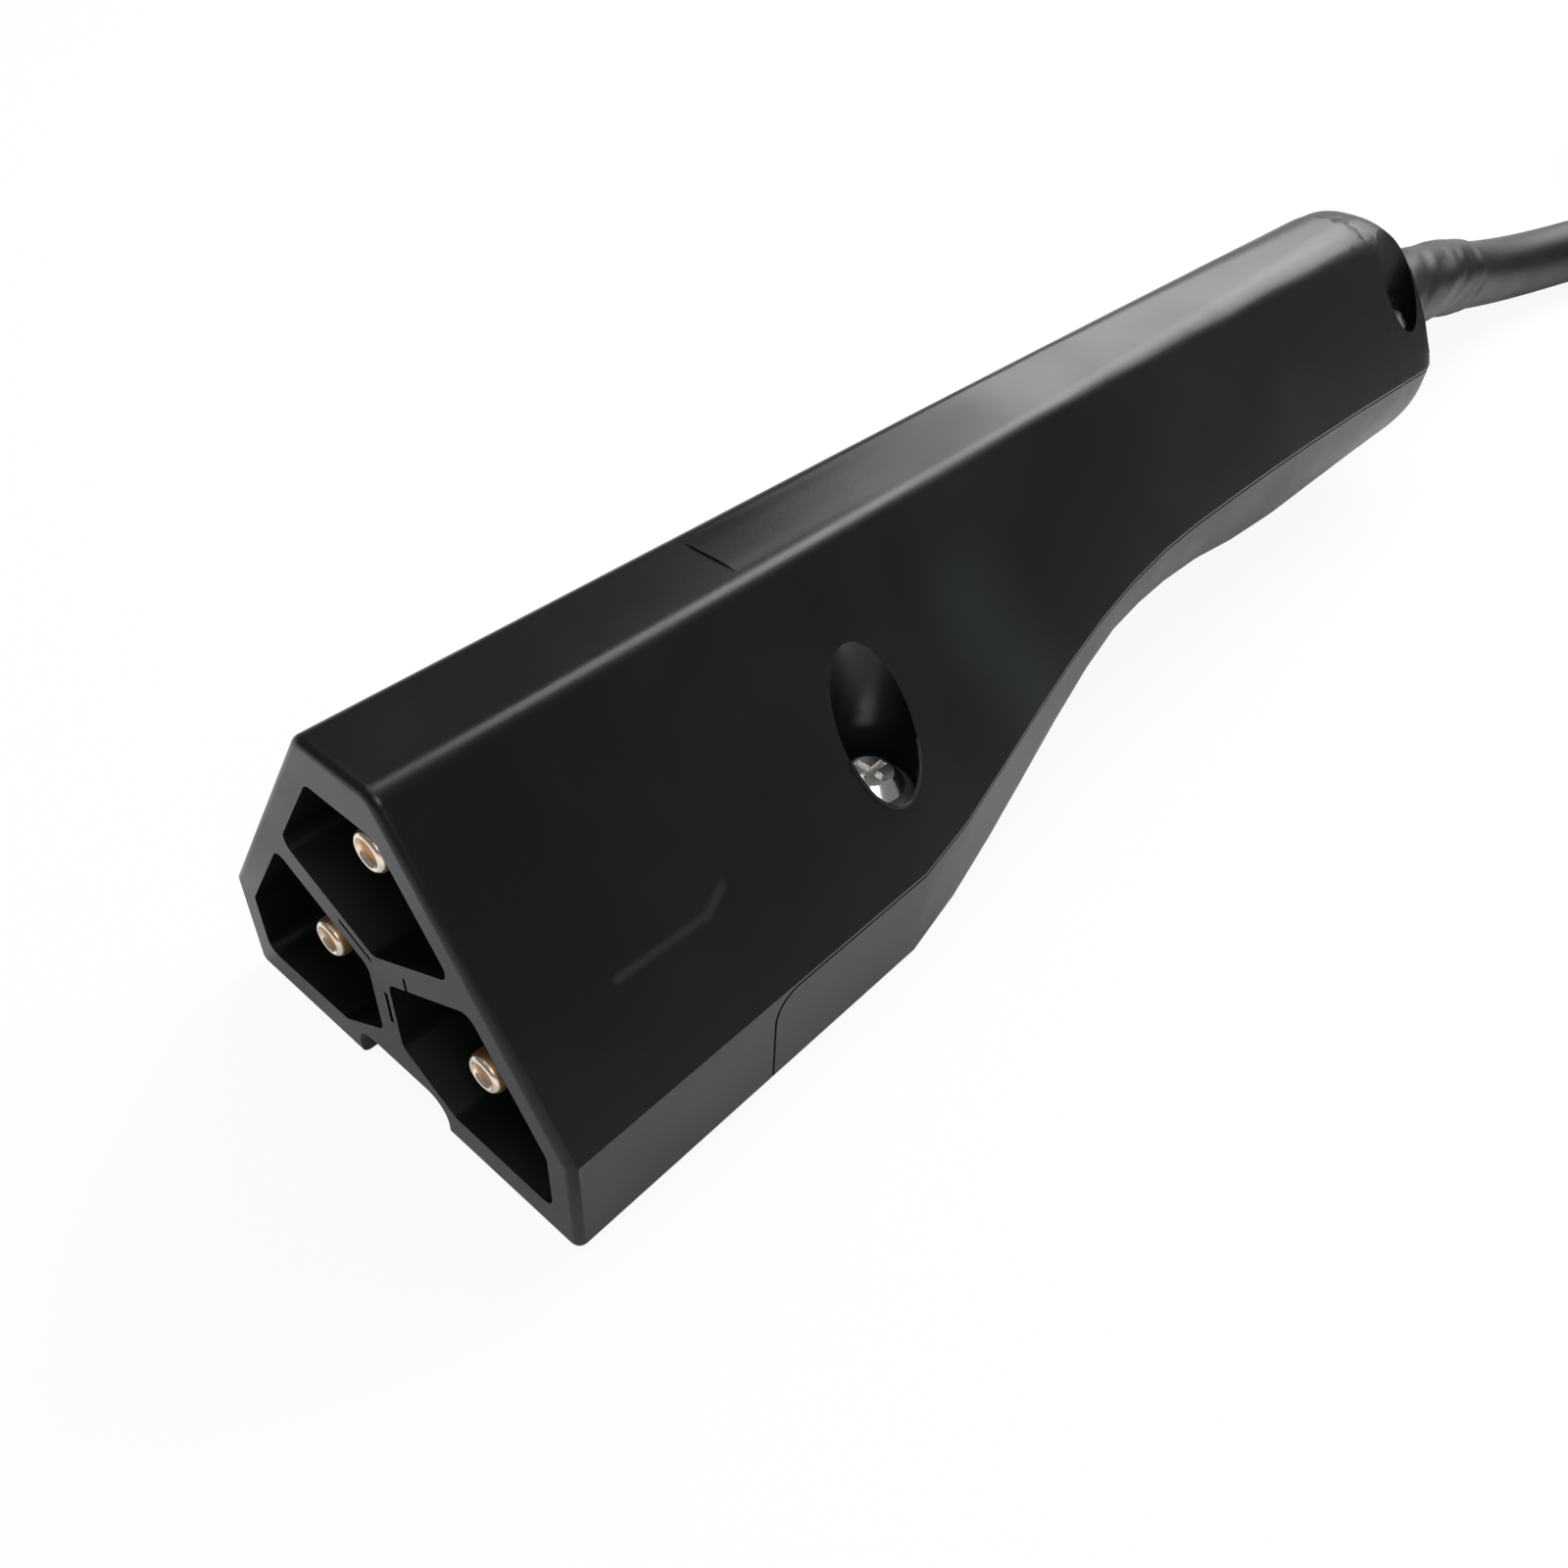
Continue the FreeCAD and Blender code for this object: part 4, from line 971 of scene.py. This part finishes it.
@dataclass
class Tie:
    """The strap that holds the hank together, its loose end laid over its start.

    Lengths are in millimetres. The start lies hidden under the loose end, which climbs a ramp.
    """

    shop: Workshop
    fold: Pair = (380.0, -33.5)
    turn: float = 40.0
    width: float = 17.6
    thickness: float = 1.1
    inner_side: float = 29.6
    outer_side: float = 56.15
    low: float = 1.2
    high: float = 38.8
    bend: float = 6.2
    hidden: float = 9.0
    overlap: float = 15.0
    ramp: float = 8.0
    gap: float = 0.1
    edge: float = 0.25
    columns: int = 6
    corner_steps: int = 6

    def _loop(self) -> list[Pair]:
        """The strap's inner face from its hidden start to its loose end, as (out, up)."""
        r = self.bend
        corners = (
            (self.inner_side + r, self.high - r, 90), (self.inner_side + r, self.low + r, 180),
            (self.outer_side - r, self.low + r, 270), (self.outer_side - r, self.high - r, 0),
        )
        points = [(self.inner_side + self.hidden, self.high)]
        for out, up, start in corners:
            for step in range(self.corner_steps + 1):
                angle = math.radians(start + 90 / self.corner_steps * step)
                points.append((out + r * math.cos(angle), up + r * math.sin(angle)))
        lift = self.thickness + self.gap
        lap = self.outer_side - r - 1.0
        points += [(lap, self.high), (lap - self.ramp / 2, self.high + lift * 0.5)]
        return points + [(lap - run, self.high + lift) for run in (self.ramp, self.overlap)]

    def build(self) -> Object:
        """Sweeps the strap's line sideways and gives it a wall and soft edges."""
        form = bmesh.new()
        half = self.width / 2 * MM
        _, edges = wire(form, [(out * MM, -half, up * MM) for out, up in self._loop()])
        for _ in range(self.columns):
            moved, edges = extrude(form, edges)
            bmesh.ops.translate(form, vec=(0, self.width / self.columns * MM, 0), verts=moved)
        centre = Matrix.Translation((self.fold[0] * MM, self.fold[1] * MM, 0))
        place = centre @ Matrix.Rotation(math.radians(self.turn), 4, "Z")
        bmesh.ops.transform(form, matrix=place, verts=form.verts)
        bmesh.ops.recalc_face_normals(form, faces=form.faces)
        tie = self.shop.form("hank_strap", form, STRAP_FINISH, 60.0)
        wall = tie.modifiers.new("strap_wall", "SOLIDIFY")
        wall.thickness = self.thickness * MM
        wall.offset = 1.0
        edge = tie.modifiers.new("soft_edges", "BEVEL")
        edge.width = self.edge * MM
        edge.segments = 2
        edge.limit_method = "ANGLE"
        edge.angle_limit = math.radians(50)
        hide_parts("cord_tie")
        return tie


@dataclass
class FarEnd:
    """The boot where the cord divides, the three short leads and their ring terminals.

    Lengths are in millimetres, along the far end's own X axis from its base.
    """

    shop: Workshop
    base: Triple = (415.88, -53.98, 38.95)
    turn: float = 194.0
    height: float = 6.9
    lead_spread: float = 2.6
    lead_radius: float = 2.1
    fan: float = 10.0
    lead_start: float = 54.0
    lead_bend: float = 42.0
    lead_floor: float = 25.0
    barrel_end: float = 14.0
    barrel_height: float = 3.0

    @property
    def place(self) -> Matrix:
        """From the far end's own millimetres to the part's metres."""
        spin = Matrix.Rotation(math.radians(self.turn), 4, "Z")
        return Matrix.Translation(Vector(self.base) * MM) @ spin

    def boot(self) -> Object:
        """The tapered boot, with two grooves round its grip."""
        profile = (
            (54.0, 0.0), (54.0, 4.3), (54.35, 4.95), (55.0, 5.35), (58.5, 5.75), (62.0, 6.2),
            (65.4, 6.65), (66.6, 6.78), (68.2, 6.8), (68.7, 6.5), (69.6, 6.5), (70.1, 6.8),
            (71.8, 6.8), (72.3, 6.5), (73.2, 6.5), (73.7, 6.8), (77.2, 6.8), (77.75, 6.68),
            (78.0, 6.4), (78.0, 6.2), (68.0, 6.1), (68.0, 0.0),
        )
        place = self.place @ Matrix.Translation((0.0, 0.0, self.height * MM))
        boot = self.shop.form("breakout_boot", lathe(profile, 56, place), SLEEVE_FINISH, 40.0)
        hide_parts("cord_end_boot")
        return boot

    def leads(self) -> None:
        """Makes the leads and the rings."""
        side = self.lead_spread * math.cos(math.radians(30))
        low = -self.lead_spread / 2
        ways = (
            ("middle", 0.0, self.lead_spread, 0.0, SENSE_FINISH),
            ("right", side, low, self.fan, POSITIVE_FINISH),
            ("left", -side, low, -self.fan, NEGATIVE_FINISH),
        )
        for where, across, up, spread, finish in ways:
            start = self.height + up
            stations = (
                (self.lead_start, across, start), (self.lead_bend, across, start),
                (self.lead_floor, spread, self.barrel_height),
                (self.barrel_end, spread, self.barrel_height),
            )
            points = [self.place @ (Vector(station) * MM) for station in stations]
            name = "end_lead_" + where
            curve = cord_curve(name + "_cord", points, self.lead_radius * MM, 4)
            lead = self.shop.piece(name + "_cord", curve, finish)
            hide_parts(name)
            ring = self.shop.copy("ring_terminal_" + where, TINNED_FINISH)
            line_length(line_points(points))


@dataclass
class Sleeve:
    """The wrinkled sleeve that holds the cord where it leaves the tail.

    Lengths are in millimetres, but the cord's own line is in metres. A layer of wrinkles has its
    height, its scales along and round the cord, and a shift of its noise.
    """

    shop: Workshop
    line: list[Vector]
    inside: float = 14.0
    reach: float = 57.0
    radius: float = 6.7
    bore: float = 6.22
    closing: float = 0.995
    sides: int = 64
    twist: float = 0.07
    rings_a_mm: float = 2.0
    start_fade: float = 3.0
    end_fade: float = 4.0
    lip: float = 0.8
    least_wall: float = 0.03
    wrinkles: tuple[tuple[float, ...], ...] = ((0.5, 0.09, 1.3, 0.0), (0.36, 0.2, 1.9, 4.0))

    def _stations(self) -> list[tuple[float, Vector, Vector]]:
        """The distance, place and direction of each ring along the cord's own line."""
        start = self.line[0] - Vector((self.inside * MM, 0, 0))
        line = [start] + self.line
        stations = []
        done, wanted = 0.0, 0.0
        for a, b in zip(line, line[1:]):
            way = (b - a).normalized()
            step = (b - a).length / MM
            while wanted <= done + step and wanted <= self.inside + self.reach:
                stations.append((wanted, a + way * ((wanted - done) * MM), way))
                wanted += 1 / self.rings_a_mm
            done += step
        return stations

    def _radius_at(self, along: float, turn: float) -> float:
        """The outer radius with its soft wrinkles, in millimetres.

        Args:
            along: The distance from the sleeve's inner end.
            turn: The angle round the cord.
        """
        out = along - self.inside
        turned = turn + along * self.twist
        round_y, round_z = math.cos(turned), math.sin(turned)
        folds = 0.0
        for height, long_way, round_way, shift in self.wrinkles:
            y, z = round_y * round_way + shift, round_z * round_way
            folds += height * noise.noise(Vector((along * long_way, y, z)))
        folds *= unit(out / self.start_fade) * unit((self.reach - out) / self.end_fade)
        narrowed = math.sqrt(unit((self.reach - out) / self.lip))
        outside = self.bore + (self.radius - self.bore) * narrowed
        return max(outside + folds, self.bore + self.least_wall)

    def build(self) -> Object:
        """Makes the sleeve as a tube of bridged rings that closes onto the cord at its ends."""
        form = bmesh.new()
        turns = [math.tau * index / self.sides for index in range(self.sides)]
        rings = []
        for along, spot, way in self._stations():
            radii = [self._radius_at(along, turn) * MM for turn in turns]
            rings.append(ring_along(form, spot, way, radii))
            if len(rings) > 1:
                bmesh.ops.bridge_loops(form, edges=rings[-2] + rings[-1])
        for edges in (rings[0], rings[-1]):
            verts, _ = extrude(form, edges)
            centre = sum((vert.co for vert in verts), Vector()) / len(verts)
            for vert in verts:
                out = (vert.co - centre).normalized()
                vert.co = centre + out * self.bore * MM * self.closing
        bmesh.ops.recalc_face_normals(form, faces=form.faces)
        sleeve = self.shop.form("wrinkled_sleeve", form, SLEEVE_FINISH, 60.0)
        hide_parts("strain_sleeve")
        return sleeve


# The plug


@dataclass
class Plug:
    """The mouldings and what is inside the plug, all but the contact pins."""

    shop: Workshop

    def build(self) -> None:
        """Dresses each solid with a copy of its own."""
        for node in ("upper_body", "belly_cover"):
            self.shop.copy(node, SHELL_FINISH, tail=TailRound())
        for node in ("contact_carrier", "contact_retainer", "cord_clamp_bar"):
            self.shop.copy(node, CARRIER_FINISH)
        self.shop.copy("screws", STEEL_FINISH)
        self.shop.copy("lead_top", SENSE_FINISH)
        self.shop.copy("lead_right", POSITIVE_FINISH)
        self.shop.copy("lead_left", NEGATIVE_FINISH)
        self.shop.copy("cord_inner_end", JACKET_FINISH)


@dataclass
class Contacts:
    """The three turned pins, hollow at the tip, with a bright lip and a shank darkened by painted
    shade.
    """

    shop: Workshop
    front: float = -91.6
    spots: tuple[tuple[str, float, float], ...] = (
        ("top", 0.0, 29.9), ("right", 11.0, 11.4), ("left", -11.0, 11.4),
    )

    def build(self) -> None:
        """Turns each pin and stands it in place of its solid."""
        profile = (
            (0.62, 0.0), (0.6, 0.9), (0.5, 1.12), (0.22, 1.27), (0.06, 1.37), (0.0, 1.5),
            (0.02, 1.64), (0.12, 1.8), (0.3, 1.94), (0.52, 2.0), (1.2, 2.0), (6.0, 2.0),
            (18.6, 2.0), (18.6, 2.4), (23.6, 2.4), (23.6, 3.3), (26.6, 3.3), (26.6, 2.8),
            (29.6, 2.8), (29.6, 0.0),
        )
        for where, across, up in self.spots:
            place = Matrix.Translation(Vector((self.front, across, up)) * MM)
            form = lathe(profile, 64, place)
            pin = self.shop.form("turned_pin_" + where, form, BRASS_FINISH, 50.0)
            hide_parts("contact_pin_" + where)


@dataclass
class Trim:
    """The mould's insert on the spine and the soft rims round the screw scoops.

    Lengths are in millimetres and angles in degrees. The insert is lifted a little, so that no
    faces lie in one plane with the spine's.
    """

    shop: Workshop
    insert_start: float = -53.0
    insert_end: float = -12.0
    insert_half: float = 3.6
    insert_taper: float = 0.75
    insert_rise: float = 0.16
    insert_lift: float = 0.003
    insert_root: float = 0.3
    insert_cells: int = 32
    spine: float = 40.0
    spine_half: float = 4.9
    side_slope: float = 34.0
    scoop: Pair = (-45.8, 15.1)
    scoop_radius: float = 4.76
    rim: float = 0.2
    rim_from: float = 280.0
    rim_to: float = 425.0
    rim_steps: int = 23

    def build(self) -> None:
        """Makes the insert and the rims."""
        self._insert()
        self._rims()

    def _insert(self) -> None:
        """A low crowned pad along the spine, with a step at its front end."""
        form = bmesh.new()
        cells = self.insert_cells
        bmesh.ops.create_grid(form, x_segments=cells, y_segments=cells, size=1.0)
        half_run = (self.insert_end - self.insert_start) / 2
        middle = (self.insert_end + self.insert_start) / 2
        for vert in form.verts:
            along, across = vert.co.x, vert.co.y
            crown = (1 - across ** 4) ** 2
            fade = (1.0 - along) / 2
            half = self.insert_half * (self.insert_taper + (1 - self.insert_taper) * fade)
            rise = self.spine + self.insert_lift + self.insert_rise * crown * fade * fade
            vert.co = Vector((middle + along * half_run, across * half, rise)) * MM
        verts, _ = extrude(form, [edge for edge in form.edges if edge.is_boundary])
        for vert in verts:
            vert.co.z = (self.spine - self.insert_root) * MM
        bmesh.ops.recalc_face_normals(form, faces=form.faces)
        self.shop.form("spine_insert", form, SHELL_FINISH, 40.0)

    def _rims(self) -> None:
        """A fine bead along the lower mouth of each front scoop."""
        slope = math.tan(math.radians(self.side_slope))
        sweep = self.rim_to - self.rim_from
        for side, sign in (("right", 1), ("left", -1)):
            points = []
            for step in range(self.rim_steps + 1):
                turn = math.radians(self.rim_from + sweep * step / self.rim_steps)
                across = self.scoop[1] + self.scoop_radius * math.cos(turn)
                height = self.spine - (across - self.spine_half) / slope
                along = self.scoop[0] + self.scoop_radius * math.sin(turn)
                points.append(Vector((along, across * sign, height)) * MM)
            name = "scoop_rim_" + side
            curve = cord_curve(name, points, self.rim * MM, sides=3, steps=4)
            self.shop.piece(name, curve, SHELL_FINISH)


def corners(box: tuple[Vector, Vector]) -> list[list[float]]:
    """A box's two corners as plain lists."""
    return [[float(value) for value in corner] for corner in box]


def main() -> None:
    """Builds the studio and each sub-assembly in order."""
    logging.basicConfig(level=logging.INFO, format="%(name)s: %(message)s")
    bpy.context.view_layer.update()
    bpy.context.scene.view_settings.view_transform = "Standard"
    Studio().build()
    shop = Workshop()
    CordSet(shop).build()
    Plug(shop).build()
    Contacts(shop).build()
    Trim(shop).build()


if __name__ == "__main__":
    main()
